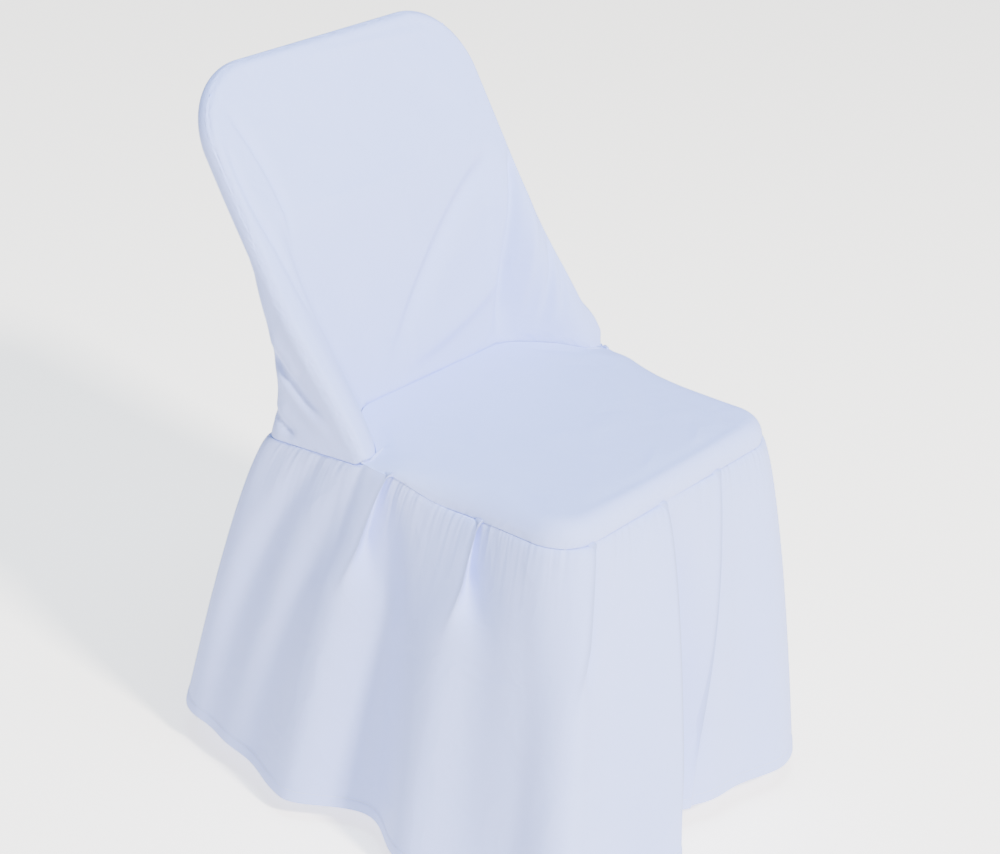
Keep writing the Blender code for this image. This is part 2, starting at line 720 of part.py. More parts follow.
def skirt_grid(outside, columns, heights):
    """Skirt as a ring of points, from its seam down to the hem."""
    runs, marks, seam_length, hem_length, places = ring_places(outside, columns)
    edges = len(SKIRT_HEM)
    grid = np.zeros((len(heights), columns, 3))
    seam_marks = np.interp(places, marks, seam_length)
    hem_marks = np.interp(places, marks, hem_length)

    def seam_point(place):
        place %= edges
        edge = min(int(place), edges - 1)
        return run_point(runs[edge], place - edge)

    for i, place in enumerate(places):
        edge = min(int(place), edges - 1)
        seam = seam_point(place)
        before = mix(place, places[i - 1] - (edges if i == 0 else 0), SEAM_LOOK)
        following = places[(i + 1) % columns] + (edges if i == columns - 1 else 0)
        after = mix(place, following, SEAM_LOOK)
        seam[2] = min(seam[2], seam_point(before)[2], seam_point(after)[2])
        hem = rounded_corner_point(SKIRT_HEM, edges, edge, place - edge)
        for j, down in enumerate(heights):
            flare = down ** FLARE_POWER
            grid[j, i, :2] = mix(seam[:2], hem[:2], flare)
            grid[j, i, 2] = mix(seam[2], hem[2], down)
    for j, down in enumerate(heights):
        flare = down ** FLARE_POWER
        tangent = np.roll(grid[j], -1, axis=0) - np.roll(grid[j], 1, axis=0)
        outward = np.stack((tangent[:, 1], -tangent[:, 0]), axis=1)
        outward /= np.linalg.norm(outward, axis=1, keepdims=True)
        marks_here = mix(seam_marks, hem_marks, flare)
        around = mix(seam_length[-1], hem_length[-1], flare)
        push = np.zeros(columns)
        for edge, at_seam, at_hem, width, height, start, hem_share, flank in SKIRT_FOLDS:
            place = (edge + mix(at_seam, at_hem, flare)) % edges
            centre_seam = np.interp(place, marks, seam_length)
            centre_hem = np.interp(place, marks, hem_length)
            centre = mix(centre_seam, centre_hem, flare)
            open_down = max(down - start, 0.0) / (1.0 - start)
            narrow = mix(FOLD_NARROW, 1.0, open_down)
            rise = height * open_down ** FOLD_OPENING * mix(1.0, hem_share, open_down)
            for i in range(columns):
                distance = (marks_here[i] - centre + around / 2.0) % around - around / 2.0
                push[i] += rise * fold_shape(distance, width * narrow, flank * narrow)
        grid[j, :, :2] += outward * push[:, None]
    return grid


def build():
    """Remove what is in the scene and make the four panels."""
    for old in list(bpy.data.objects):
        bpy.data.objects.remove(old, do_unlink=True)
    white = cloth_material("white_polyester", (0.86, 0.88, 0.93))
    rim = rim_seam_normals(BACK_COLUMNS, BACK_ROWS)
    inside = inside_back_grid(BACK_COLUMNS, BACK_ROWS)
    outside = outside_back_grid(BACK_COLUMNS, BACK_ROWS)
    skirt = skirt_grid(outside, SKIRT_COLUMNS, SKIRT_ROWS)
    seat = seat_grid(BACK_COLUMNS, SEAT_ROWS)
    sheet_object("inside_back", inside, False, False, white, (), rim)
    sheet_object("outside_back", outside, True, False, white, (FOOT_EDGE,), rim)
    sheet_object("seat", seat, True, False, white, RIM_EDGES)
    sheet_object("skirt", skirt, True, True, white, (FOOT_EDGE,))


build()
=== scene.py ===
"""White fitted cover in four sewn panels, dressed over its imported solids."""
import math

import bpy
import numpy as np
from mathutils import Matrix, Vector


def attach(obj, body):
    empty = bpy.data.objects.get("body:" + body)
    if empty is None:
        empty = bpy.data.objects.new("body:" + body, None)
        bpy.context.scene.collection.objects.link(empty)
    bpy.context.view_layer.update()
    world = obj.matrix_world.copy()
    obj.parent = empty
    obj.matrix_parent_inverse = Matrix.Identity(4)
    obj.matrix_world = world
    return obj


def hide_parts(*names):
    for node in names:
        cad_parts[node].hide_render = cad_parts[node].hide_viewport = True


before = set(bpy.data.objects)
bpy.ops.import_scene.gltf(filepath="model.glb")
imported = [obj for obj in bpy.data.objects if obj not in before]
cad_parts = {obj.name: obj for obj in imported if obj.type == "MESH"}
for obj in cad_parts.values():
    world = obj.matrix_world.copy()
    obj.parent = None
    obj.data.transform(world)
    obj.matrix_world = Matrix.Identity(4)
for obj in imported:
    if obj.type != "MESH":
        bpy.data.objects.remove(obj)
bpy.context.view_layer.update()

# Inside back. One piece of white polyester over the front of the leaning back.
# Its rim rolls over a round edge into the rim seam, and below it is pushed back
# between the two sides and sewn to the seat. Heights are above the floor here.
BACK_FOOT = (0.066, 0.438)
BACK_LEAN = math.radians(34.2)
BACK_HALF = 0.225
BACK_FOOT_HALF = 0.2245
BACK_WIDENS_OVER = 0.10
BACK_LENGTH = 0.445
BACK_RADIUS = 0.090
BACK_SHIFT = -0.020
BACK_SHIFT_OVER = 0.20
BACK_SAG = 0.004
BACK_SAG_OVER = 0.12
RIM_RADIUS = 0.013
RIM_SEAM_ANGLE = math.radians(50.0)
REST_FROM = 0.27
RECESS_DEPTH = 0.060
RECESS_OUTER = 0.206
RECESS_INNER_LOW = 0.120
RECESS_INNER_HIGH = 0.172
RECESS_LOW = 0.043
RECESS_BELOW = -0.3
SEAT_TOP = 0.447
REAR_CORNER_DROP = 0.008
REAR_CORNER_FROM = 0.165
REAR_CORNER_OVER = 0.055
SOLVER_STEPS = 30
CLOTH_THICKNESS = 0.0011
SEAM_DIP = 0.0010
SEAM_DIP_OVER = 0.0035
SEAM_ALLOWANCE = 0.004
CREASE_END = 0.3
CREASE_PIECES = 16
SHARP_ANGLE = math.radians(60.0)
TINY = 1e-12
SINE = math.sin(BACK_LEAN)
COSINE = math.cos(BACK_LEAN)


def smooth(value):
    """Smooth step from 0 to 1."""
    t = np.clip(value, 0.0, 1.0)
    return t * t * (3.0 - 2.0 * t)


def mix(a, b, t):
    """Straight blend from a to b."""
    return a + (b - a) * t


def bell(gap, width):
    """Bell curve, 1 at no gap."""
    return np.exp(-(gap / width) ** 2)


def unit(vectors):
    """Vectors made one long."""
    return vectors / np.maximum(np.linalg.norm(vectors, axis=-1, keepdims=True), TINY)


def back_point(x, along, out):
    """Points given across the back, up along it and out of its plane to the front."""
    y = BACK_FOOT[0] + along * SINE - out * COSINE
    z = BACK_FOOT[1] + along * COSINE + out * SINE
    return np.stack(np.broadcast_arrays(x, y, z), axis=-1)


def back_half(along):
    """Half-width of the back."""
    return mix(BACK_FOOT_HALF, BACK_HALF, smooth(along / BACK_WIDENS_OVER))


def back_middle(along):
    """The upper back sits a little to one side."""
    return BACK_SHIFT * smooth(along / BACK_SHIFT_OVER)


def inset_depth(x, along):
    """Distance inside the back's rounded outline."""
    side = np.abs(x - back_middle(along))
    over_x = side - (back_half(along) - BACK_RADIUS)
    over_s = along - (BACK_LENGTH - BACK_RADIUS)
    straight = np.minimum(back_half(along) - side, BACK_LENGTH - along)
    rounded = BACK_RADIUS - np.hypot(over_x, over_s)
    return np.where((over_x > 0.0) & (over_s > 0.0), rounded, straight)


def inside_back_out(x, along):
    """How far the inside back stands out of the back's plane."""
    depth = inset_depth(x, along)
    inset = np.clip(depth, 0.0, RIM_RADIUS)
    rim = np.sqrt(np.maximum(RIM_RADIUS ** 2 - (RIM_RADIUS - inset) ** 2, 0.0))
    height = (along - RECESS_LOW) / (REST_FROM - RECESS_LOW)
    low = 1.0 - np.clip(height, RECESS_BELOW, 1.0)
    inner = mix(RECESS_INNER_LOW, RECESS_INNER_HIGH, np.clip(height, 0.0, 1.0))
    side = np.abs(x - back_middle(along))
    across = smooth((RECESS_OUTER - side) / (RECESS_OUTER - inner))
    sag = BACK_SAG * smooth(depth / BACK_SAG_OVER)
    return rim - sag - RECESS_DEPTH * low * across


def seat_rear_height(x):
    """Height of the seam between seat and inside back."""
    return SEAT_TOP - REAR_CORNER_DROP * smooth((np.abs(x) - REAR_CORNER_FROM) / REAR_CORNER_OVER)


def seat_seam_along(x):
    """Where on the inside back its lower seam lies."""
    along = np.full_like(np.asarray(x, dtype=float), RECESS_LOW)
    for _ in range(SOLVER_STEPS):
        out = inside_back_out(x, along)
        along = (seat_rear_height(x) - BACK_FOOT[1] - out * SINE) / COSINE
    return along


def frame_path(half, end, radius, start, inset, edge, place):
    """Points on a rounded frame: up one side, round the corner, or along the end."""
    round_from = end - radius
    corner = radius - inset
    straight = round_from - start
    quarter = corner * math.pi / 4.0
    if edge == "end":
        flat = half(round_from) - radius
        length = 2.0 * (flat + quarter)
        distance = place * length - length / 2.0
        angle = np.clip((np.abs(distance) - flat) / corner, 0.0, None)
        x = np.minimum(np.abs(distance), flat) + corner * np.sin(angle)
        return np.copysign(x, distance), round_from + corner * np.cos(angle)
    distance = place * (straight + quarter)
    angle = np.clip((distance - straight) / corner, 0.0, None)
    height = start + np.minimum(distance, straight) + corner * np.sin(angle)
    rounded = half(round_from) - radius + corner * np.cos(angle)
    x = np.where(angle > 0.0, rounded, half(height) - inset)
    return (-x if edge == "left" else x), height


def framed_grid(columns, rows, rings, ring_point, foot_point):
    """Grid whose outer rings run up the left side, along the end and down the right side."""
    grid = None
    for k in range(rings):
        top = rows - 1 - k
        side = np.arange(top + 1) / top
        left = ring_point(k, "left", side)
        if grid is None:
            grid = np.zeros((rows, columns, left.shape[-1]))
        grid[: top + 1, k] = left
        grid[: top + 1, columns - 1 - k] = ring_point(k, "right", side)
        across = np.arange(k + 1, columns - 1 - k)
        grid[top, across] = ring_point(k, "end", (across - k) / (columns - 1 - 2 * k))
    low = rings - 1
    high = columns - rings
    top = rows - rings
    across = np.arange(low + 1, high)
    u = ((across - low) / (high - low))[:, None]
    grid[0, across] = foot_point(u[:, 0], grid[0, low], grid[0, high])
    for j in range(1, top):
        v = j / top
        ruled_v = mix(grid[0, across], grid[top, across], v)
        ruled_u = mix(grid[j, low], grid[j, high], u)
        corners = mix(mix(grid[0, low], grid[0, high], u), mix(grid[top, low], grid[top, high], u), v)
        grid[j, across] = ruled_v + ruled_u - corners
    return grid


def crease_heights(first, second, creases):
    """Sum of soft creases, each bent through three points of a flat panel.

    A crease is its start, middle and end, its half-width before and beyond its
    line, and its height. It dies away at both ends.
    """
    total = np.zeros_like(first)
    t = np.linspace(0.0, 1.0, CREASE_PIECES + 1)[:, None]
    for start, middle, end, near_width, far_width, height in creases:
        bend = 2.0 * np.array(middle) - (np.array(start) + np.array(end)) / 2.0
        line = (1 - t) ** 2 * np.array(start) + 2 * t * (1 - t) * bend + t ** 2 * np.array(end)
        closest = np.full_like(first, np.inf)
        across = np.zeros_like(first)
        place = np.zeros_like(first)
        for k in range(CREASE_PIECES):
            run = line[k + 1] - line[k]
            length = np.hypot(*run)
            gap_first, gap_second = first - line[k, 0], second - line[k, 1]
            share = np.clip((gap_first * run[0] + gap_second * run[1]) / length ** 2, 0.0, 1.0)
            off_first, off_second = gap_first - share * run[0], gap_second - share * run[1]
            distance = np.hypot(off_first, off_second)
            nearer = distance < closest
            closest = np.where(nearer, distance, closest)
            side = np.sign(gap_first * run[1] - gap_second * run[0])
            across = np.where(nearer, side * distance, across)
            place = np.where(nearer, (k + share) / CREASE_PIECES, place)
        width = np.where(across < 0.0, near_width, far_width)
        fade = smooth(place / CREASE_END) * smooth((1.0 - place) / CREASE_END)
        total += height * fade * bell(across, width)
    return total


def arc_lengths(grid, axis):
    """Distance along the cloth from its first row or column, in metres."""
    step = np.linalg.norm(np.diff(grid, axis=axis), axis=2)
    lengths = np.cumsum(step, axis=axis)
    start = np.zeros_like(np.take(lengths, [0], axis=axis))
    return np.concatenate((start, lengths), axis=axis)


def seam_distances(grid):
    """Distances along the cloth from its sides and end, and from its lower edge."""
    across = arc_lengths(grid, 1)
    up = arc_lengths(grid, 0)
    return np.minimum(np.minimum(across, across[:, -1:] - across), up[-1:] - up), up


def outward_normals(grid, flip, closed):
    """Outward normals of a grid of points."""
    if closed:
        across = np.roll(grid, -1, axis=1) - np.roll(grid, 1, axis=1)
    else:
        across = np.gradient(grid, axis=1)
    normals = unit(np.cross(across, np.gradient(grid, axis=0)))
    return -normals if flip else normals


HANG_ALONG = BACK_LENGTH - 0.002
HANG_POINT = back_point(BACK_SHIFT, HANG_ALONG, 0.0)


def with_allowance(grid, foot_in, rim_in):
    """Grid with a turned-in seam allowance along its lower edge, its sides and its end.

    foot_in is the way in along the lower edge, and rim_in the ways in along the
    left side, the right side and the end.
    """
    left_in, right_in, end_in = rim_in
    rows, cols = grid.shape[:2]
    wider = np.zeros((rows + 2, cols + 2, 3))
    wider[1:-1, 1:-1] = grid
    wider[-1, 1:-1] = grid[-1] + end_in
    wider[0, 1:-1] = grid[0] + foot_in
    for col, side_in in ((0, left_in), (-1, right_in)):
        wider[1:-1, col] = grid[:, col] + side_in
        wider[0, col] = grid[0, col] + side_in[0] + foot_in[col]
        wider[-1, col] = grid[-1, col] + side_in[-1]
    return wider


def new_object(name, data):
    """Object in the scene for a mesh, a light or a camera."""
    made = bpy.data.objects.new(name, data)
    bpy.context.scene.collection.objects.link(made)
    return made


def sewn_panel(name, grid, flip, closed, material, seam_distance, ways_in=None, pleat_edge_shade=None):
    """One thin closed sheet of cloth from the grid of its outer face.

    The sewn edges dip a little towards the seam, and their allowances turn in
    behind it. The panel keeps its own map in metres of cloth, how far each point
    lies from the nearest seam, and a mask of painted shade along each pleat's edge.
    """
    normals = outward_normals(grid, flip, closed)
    dip = SEAM_DIP * bell(seam_distance, SEAM_DIP_OVER)
    outer = grid - normals * dip[..., None]
    normals = outward_normals(outer, flip, closed)
    if ways_in is not None:
        outer = with_allowance(outer, *ways_in)
        grid = with_allowance(grid, *ways_in)
        seam_distance = np.pad(seam_distance, 1)
        normals = np.pad(normals, ((1, 1), (1, 1), (0, 0)), mode="edge")
    inner = outer - normals * CLOTH_THICKNESS
    rows, cols = grid.shape[:2]
    points = np.concatenate((outer.reshape(-1, 3), inner.reshape(-1, 3))) - HANG_POINT
    offset = rows * cols
    spans = cols if closed else cols - 1
    j, i = np.meshgrid(np.arange(rows - 1), np.arange(spans), indexing="ij")
    a = (j * cols + i).ravel()
    b = (j * cols + (i + 1) % cols).ravel()
    outside = np.stack((a, b, b + cols, a + cols), axis=1)
    faces = [outside, outside[:, ::-1] + offset]
    i = np.arange(spans)
    n = (i + 1) % cols
    last = (rows - 1) * cols
    borders = [(n, i), (last + i, last + n)]
    if not closed:
        left = np.arange(rows - 1) * cols
        right = left + cols - 1
        borders += [(left, left + cols), (right + cols, right)]
    faces += [np.stack((p, q, offset + q, offset + p), axis=1) for p, q in borders]
    faces = np.concatenate(faces)
    if flip:
        faces = faces[:, ::-1]
    mesh = bpy.data.meshes.new(name)
    mesh.from_pydata(points.tolist(), [], faces.tolist())
    mesh.update()
    lengthways = arc_lengths(grid, 0)
    widthways = arc_lengths(grid, 1)
    if closed:
        widthways = np.repeat(widthways[-1:], rows, axis=0)
    cloth_map = np.stack((widthways, lengthways), axis=-1).reshape(-1, 2)
    cloth_map = np.concatenate((cloth_map, cloth_map))
    corner_points = np.zeros(len(mesh.loops), dtype=np.int32)
    mesh.loops.foreach_get("vertex_index", corner_points)
    corners = cloth_map[corner_points]
    if closed:
        around = corners[:, 0].reshape(-1, 4)
        wraps = (around.max(axis=1) - around.min(axis=1)) > widthways.max() / 2.0
        low = around < widthways.max() / 2.0
        around[wraps[:, None] & low] += widthways.max()
    layer = mesh.uv_layers.new(name="ClothMap")
    layer.data.foreach_set("uv", corners.ravel())
    for label, values in (("seam_distance", seam_distance), ("pleat_edge_shade", pleat_edge_shade)):
        if values is not None:
            layer = mesh.attributes.new(label, "FLOAT", "POINT")
            layer.data.foreach_set("value", np.tile(values.ravel(), 2))
    mesh.shade_smooth()
    mesh.set_sharp_from_angle(angle=SHARP_ANGLE)
    mesh.materials.append(material)
    return new_object(name, mesh)


def new_group(name, tree_kind, inputs, outputs):
    """Empty node group with named sockets."""
    group = bpy.data.node_groups.new(name, tree_kind)
    for side, sockets in (("INPUT", inputs), ("OUTPUT", outputs)):
        for label, kind, *value in sockets:
            made = group.interface.new_socket(name=label, in_out=side, socket_type="NodeSocket" + kind)
            if value:
                made.default_value = value[0]
    return group, group.nodes.new("NodeGroupInput").outputs, group.nodes.new("NodeGroupOutput")


def feed(tree, node, inputs):
    """Node with its inputs fed by sockets or set to values."""
    for label, value in inputs.items():
        if isinstance(value, bpy.types.NodeSocket):
            tree.links.new(value, node.inputs[label])
        else:
            node.inputs[label].default_value = value
    return node


def add_node(tree, kind, inputs=None, **settings):
    """New node with its settings and its inputs."""
    node = tree.nodes.new(kind)
    for label, value in settings.items():
        setattr(node, label, value)
    return feed(tree, node, inputs or {})


def math_node(tree, operation, *values):
    """Result of a math node."""
    return add_node(tree, "ShaderNodeMath", dict(enumerate(values)), operation=operation).outputs[0]


def mix_colour(tree, amount, first, second):
    """Colour mixed from two others."""
    ends = {0: amount, 6: first, 7: second}
    return add_node(tree, "ShaderNodeMix", ends, data_type="RGBA").outputs[2]


def new_material(name):
    """Material with its nodes and its surface shader."""
    material = bpy.data.materials.new(name)
    material.use_nodes = True
    return material, material.node_tree, material.node_tree.nodes["Principled BSDF"]


def plain_weave():
    """Over-and-under threads: height of the cloth and a mask of its thread tops."""
    group, into, out = new_group(
        "plain_weave", "ShaderNodeTree",
        (("Map", "Vector"), ("Threads per metre", "Float", THREADS_PER_METRE)),
        (("Height", "Float"), ("Tops", "Float")),
    )
    split = add_node(group, "ShaderNodeSeparateXYZ", {0: into["Map"]})
    waves = []
    for axis in ("X", "Y"):
        turns = math_node(group, "MULTIPLY", split.outputs[axis], into["Threads per metre"])
        waves.append(math_node(group, "SINE", math_node(group, "MULTIPLY", turns, math.pi)))
    height = math_node(group, "ABSOLUTE", math_node(group, "MULTIPLY", *waves))
    feed(group, out, {"Height": height, "Tops": math_node(group, "POWER", height, 2.0)})
    return group


def seam_pucker():
    """Short ripples that die away from a sewn seam."""
    group, into, out = new_group(
        "seam_pucker", "ShaderNodeTree",
        (
            ("Map", "Vector"),
            ("Seam distance", "Float", 1.0),
            ("Reach", "Float", 0.014),
            ("Ripples per metre", "Float", 90.0),
            ("Stretch", "Vector"),
        ),
        (("Height", "Float"),),
    )
    share = math_node(group, "DIVIDE", into["Seam distance"], into["Reach"])
    near = math_node(group, "POWER", RIPPLE_FALL, share)
    sides = {0: into["Map"], 1: into["Stretch"]}
    stretched = add_node(group, "ShaderNodeVectorMath", sides, operation="MULTIPLY")
    ripples = {"Vector": stretched.outputs[0], "Scale": into["Ripples per metre"], "Detail": 1.0}
    noise = add_node(group, "ShaderNodeTexNoise", ripples)
    feed(group, out, {"Height": math_node(group, "MULTIPLY", noise.outputs[0], near)})
    return group


def crumple():
    """Softness and faint unevenness all over the cloth."""
    group, into, out = new_group(
        "crumple", "ShaderNodeTree",
        (("Place", "Vector"), ("Folds per metre", "Float", 18.0)),
        (("Height", "Float"), ("Shade", "Float")),
    )
    folds = {"Vector": into["Place"], "Scale": into["Folds per metre"], "Detail": 2.0, "Distortion": 0.6}
    broad = add_node(group, "ShaderNodeTexNoise", folds).outputs[0]
    ridge = math_node(group, "ABSOLUTE", math_node(group, "SUBTRACT", broad, 0.5))
    feed(group, out, {"Height": math_node(group, "SUBTRACT", 1.0, ridge), "Shade": broad})
    return group


RIPPLE_FALL = 0.25
CRUMPLE_DEPTH = 0.0022
WEAVE_DEPTH = 0.00005
THREADS_PER_METRE = 1400.0
CLOTH_LIGHT = (0.465, 0.55, 1.0)
CLOTH_SHADE = (0.435, 0.525, 0.985)
# Painted shade along the pleats' edges: the shade colour is darkened by this factor.
EDGE_SHADE_TINT = 0.74
# Painted highlight on the raised thread tops: their colour is the cloth's light colour times this.
THREAD_TOP_HIGHLIGHT = 1.03
THREAD_HIGHLIGHT_SHARE = 0.25
WEAVE = plain_weave()
PUCKER = seam_pucker()
CRUMPLE = crumple()


def polyester_cloth(name, stretch, reach, ripples, ripple_depth):
    """White woven polyester with a soft satin sheen, rippled along its seams."""
    material, tree, shader = new_material(name)
    cloth_map = add_node(tree, "ShaderNodeUVMap", uv_map="ClothMap").outputs["UV"]
    place = add_node(tree, "ShaderNodeTexCoord").outputs["Object"]
    distance = add_node(tree, "ShaderNodeAttribute", attribute_name="seam_distance").outputs["Fac"]
    # Painted shade: a mask along the pleats' edges that darkens the cloth's colour there.
    edge_shade_mask = add_node(tree, "ShaderNodeAttribute", attribute_name="pleat_edge_shade").outputs["Fac"]
    threading = {"Map": cloth_map, "Threads per metre": THREADS_PER_METRE}
    weave = add_node(tree, "ShaderNodeGroup", threading, node_tree=WEAVE).outputs
    rippling = {
        "Map": cloth_map, "Seam distance": distance, "Stretch": stretch,
        "Reach": reach, "Ripples per metre": ripples,
    }
    pucker = add_node(tree, "ShaderNodeGroup", rippling, node_tree=PUCKER).outputs
    soft = add_node(tree, "ShaderNodeGroup", {"Place": place}, node_tree=CRUMPLE).outputs
    cloth = mix_colour(tree, soft["Shade"], (*CLOTH_SHADE, 1.0), (*CLOTH_LIGHT, 1.0))
    # Painted highlight: the raised tops of the threads get a slightly lighter colour, as if they caught the
    # light.
    top = (*(min(channel * THREAD_TOP_HIGHLIGHT, 1.0) for channel in CLOTH_LIGHT), 1.0)
    highlighted_threads = mix_colour(tree, math_node(tree, "MULTIPLY", weave["Tops"], THREAD_HIGHLIGHT_SHARE), cloth, top)
    # Painted shade: the darkened shade colour for the line along each pleat's edge.
    edge = (*(channel * EDGE_SHADE_TINT for channel in CLOTH_SHADE), 1.0)
    relief = {}
    for height, depth, strength in (
        (soft["Height"], CRUMPLE_DEPTH, 1.0),
        (pucker["Height"], ripple_depth, 1.0),
        (weave["Height"], WEAVE_DEPTH, 0.6),
    ):
        relief.update({"Height": height, "Distance": depth, "Strength": strength})
        relief["Normal"] = add_node(tree, "ShaderNodeBump", relief).outputs["Normal"]
    feed(tree, shader, {
        "Roughness": 0.62,
        "Specular IOR Level": 0.35,
        "Sheen Weight": 0.12,
        "Sheen Roughness": 0.45,
        "Base Color": mix_colour(tree, edge_shade_mask, highlighted_threads, edge),
        "Normal": relief["Normal"],
    })
    return material


WHITE_CLOTH = polyester_cloth("white_polyester", (1.0, 1.0, 1.0), 0.012, 90.0, 0.0022)
GATHERED_CLOTH = polyester_cloth("gathered_polyester", (1.0, 0.12, 1.0), 0.045, 75.0, 0.0042)

BULGE = 0.010
BULGE_LOW = 0.441
BULGE_RISE = 0.014
BULGE_HIGH = 0.492
BULGE_FALL = 0.028
BULGE_INNER = 0.195
BULGE_ACROSS = 0.028
BULGE_REAR = 0.160
BULGE_DEPTH = 0.050
INSIDE_FADE_RIM = 0.016
INSIDE_FADE_LOW = 0.020
INSIDE_COLUMNS = 171
INSIDE_ROWS = 131
RIM_SEAM_INSET = RIM_RADIUS * (1.0 - math.sin(RIM_SEAM_ANGLE))
SEAM_HALF = BACK_FOOT_HALF - RIM_SEAM_INSET
INSIDE_INSETS = [RIM_SEAM_INSET + step for step in (0.0, 0.0007, 0.0016, 0.003, 0.005, 0.0075, 0.010, 0.0135)]

# Each crease: start, middle, end across and up the back, two half-widths, height
INSIDE_CREASES = (
    ((-0.214, 0.405), (-0.186, 0.325), (-0.183, 0.225), 0.010, 0.004, -0.0046),
    ((-0.226, 0.370), (-0.227, 0.300), (-0.212, 0.225), 0.006, 0.004, -0.0034),
    ((-0.218, 0.285), (-0.214, 0.220), (-0.196, 0.140), 0.006, 0.005, -0.0030),
    ((-0.196, 0.275), (-0.194, 0.175), (-0.160, 0.060), 0.006, 0.016, 0.0040),
    ((0.172, 0.256), (0.068, 0.198), (-0.085, 0.062), 0.018, 0.006, -0.0080),
    ((0.206, 0.275), (0.166, 0.178), (0.110, 0.040), 0.008, 0.004, -0.0084),
    ((0.208, 0.235), (0.182, 0.150), (0.131, 0.038), 0.006, 0.009, 0.0048),
    ((0.212, 0.215), (0.197, 0.125), (0.153, 0.034), 0.006, 0.004, -0.0064),
    ((0.210, 0.160), (0.203, 0.105), (0.176, 0.034), 0.005, 0.004, -0.0048),
    ((0.152, 0.122), (0.062, 0.088), (-0.065, 0.064), 0.007, 0.020, 0.0044),
    ((-0.090, 0.425), (0.040, 0.421), (0.170, 0.409), 0.005, 0.007, 0.0016),
    ((-0.165, 0.264), (-0.050, 0.255), (0.100, 0.228), 0.020, 0.030, 0.0034),
    ((-0.150, 0.230), (-0.110, 0.150), (-0.100, 0.060), 0.022, 0.022, -0.0024),
    ((0.020, 0.380), (0.090, 0.350), (0.150, 0.290), 0.024, 0.024, -0.0018),
)


def bulged(grid):
    """Panel with the slack that stands out of the right rim just above the seat."""
    x, y, z = grid[..., 0], grid[..., 1], grid[..., 2]
    low = smooth((z - BULGE_LOW) / BULGE_RISE) * smooth((BULGE_HIGH - z) / BULGE_FALL)
    near = smooth((x - BULGE_INNER) / BULGE_ACROSS) * smooth((BULGE_REAR - y) / BULGE_DEPTH)
    grid[..., 0] += BULGE * low * near
    return grid


def inside_back_grid():
    """Outer face of the inside back, creased."""
    def ring_point(k, edge, place):
        inset = INSIDE_INSETS[k]
        foot = float(seat_seam_along(BACK_FOOT_HALF - inset))
        x, along = frame_path(back_half, BACK_LENGTH, BACK_RADIUS, foot, inset, edge, place)
        return np.stack((x + back_middle(along), along), axis=-1)

    def foot_point(u, left, right):
        x = mix(left[0], right[0], u)
        return np.stack((x, seat_seam_along(x)), axis=-1)

    flat = framed_grid(INSIDE_COLUMNS, INSIDE_ROWS, len(INSIDE_INSETS), ring_point, foot_point)
    x, along = flat[..., 0], flat[..., 1]
    from_foot = along - seat_seam_along(x)
    depth = inset_depth(x, along)
    fade = smooth((depth - RIM_SEAM_INSET) / INSIDE_FADE_RIM) * smooth(from_foot / INSIDE_FADE_LOW)
    creased = fade * crease_heights(x, along, INSIDE_CREASES)
    grid = bulged(back_point(x, along, inside_back_out(x, along) + creased))
    seam_distance = np.minimum(depth - RIM_SEAM_INSET, from_foot)
    return grid, np.maximum(seam_distance, 0.0)


def rim_ways_in(grid):
    """Ways in along the rim seam, square to the cloth on both sides of it."""
    middle = back_point(BACK_SHIFT, BACK_LENGTH / 2.0, 0.0)
    plane = np.array((0.0, -COSINE, SINE))
    ways = []
    for edge in (grid[:, 0], grid[:, -1], grid[-1]):
        run = np.gradient(edge, axis=0)
        side = np.cross(run, plane)
        side *= np.sign(np.sum(side * (edge - middle), axis=1, keepdims=True))
        outward = math.sin(RIM_SEAM_ANGLE) * unit(side) + math.cos(RIM_SEAM_ANGLE) * plane
        ways.append(-SEAM_ALLOWANCE * outward)
    return ways


SEAT_SEAM_IN = SEAM_ALLOWANCE * np.array((0.0, 0.35, -1.0))

inside_points, inside_seam = inside_back_grid()
inside_ways = (np.tile(SEAT_SEAM_IN, (INSIDE_COLUMNS, 1)), rim_ways_in(inside_points))
inside_back = sewn_panel(
    "inside_back_cloth", inside_points, False, False, WHITE_CLOTH, inside_seam, inside_ways
)
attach(inside_back, "root")
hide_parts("inside_back")

# Outside back. One piece of the same cloth over the rear of the back. Its two
# sides wrap round to the rim seam and widen below into the wings, which are
# sewn to the skirt. It hangs free of the inside back behind the seat.
OUTSIDE_HANGS = (
    (0.430, 0.186), (0.470, 0.174), (0.505, 0.178),
    (0.545, 0.184), (0.590, 0.199), (0.635, 0.215),
)
HANG_STEPS = np.linspace(-0.024, 0.024, 13)
WING_REAR_Z = 0.430
WING_FREE_BELOW = 0.32
WING_FREE_OVER = 0.10
WING_LEVEL_FROM = 0.15
WING_SPREAD = 0.012
OUTSIDE_CORNER = 0.020
REAR_HALF = 0.19
REAR_FADE = 0.03
REAR_FADE_LOW = 0.020
REAR_FROM_RIM = 0.030
WING_BLEND = 0.02
WING_FADE = 0.012
WING_FROM_RIM = 0.004
OUTSIDE_COLUMNS = 211
OUTSIDE_ROWS = 121
OUTSIDE_RINGS = 31

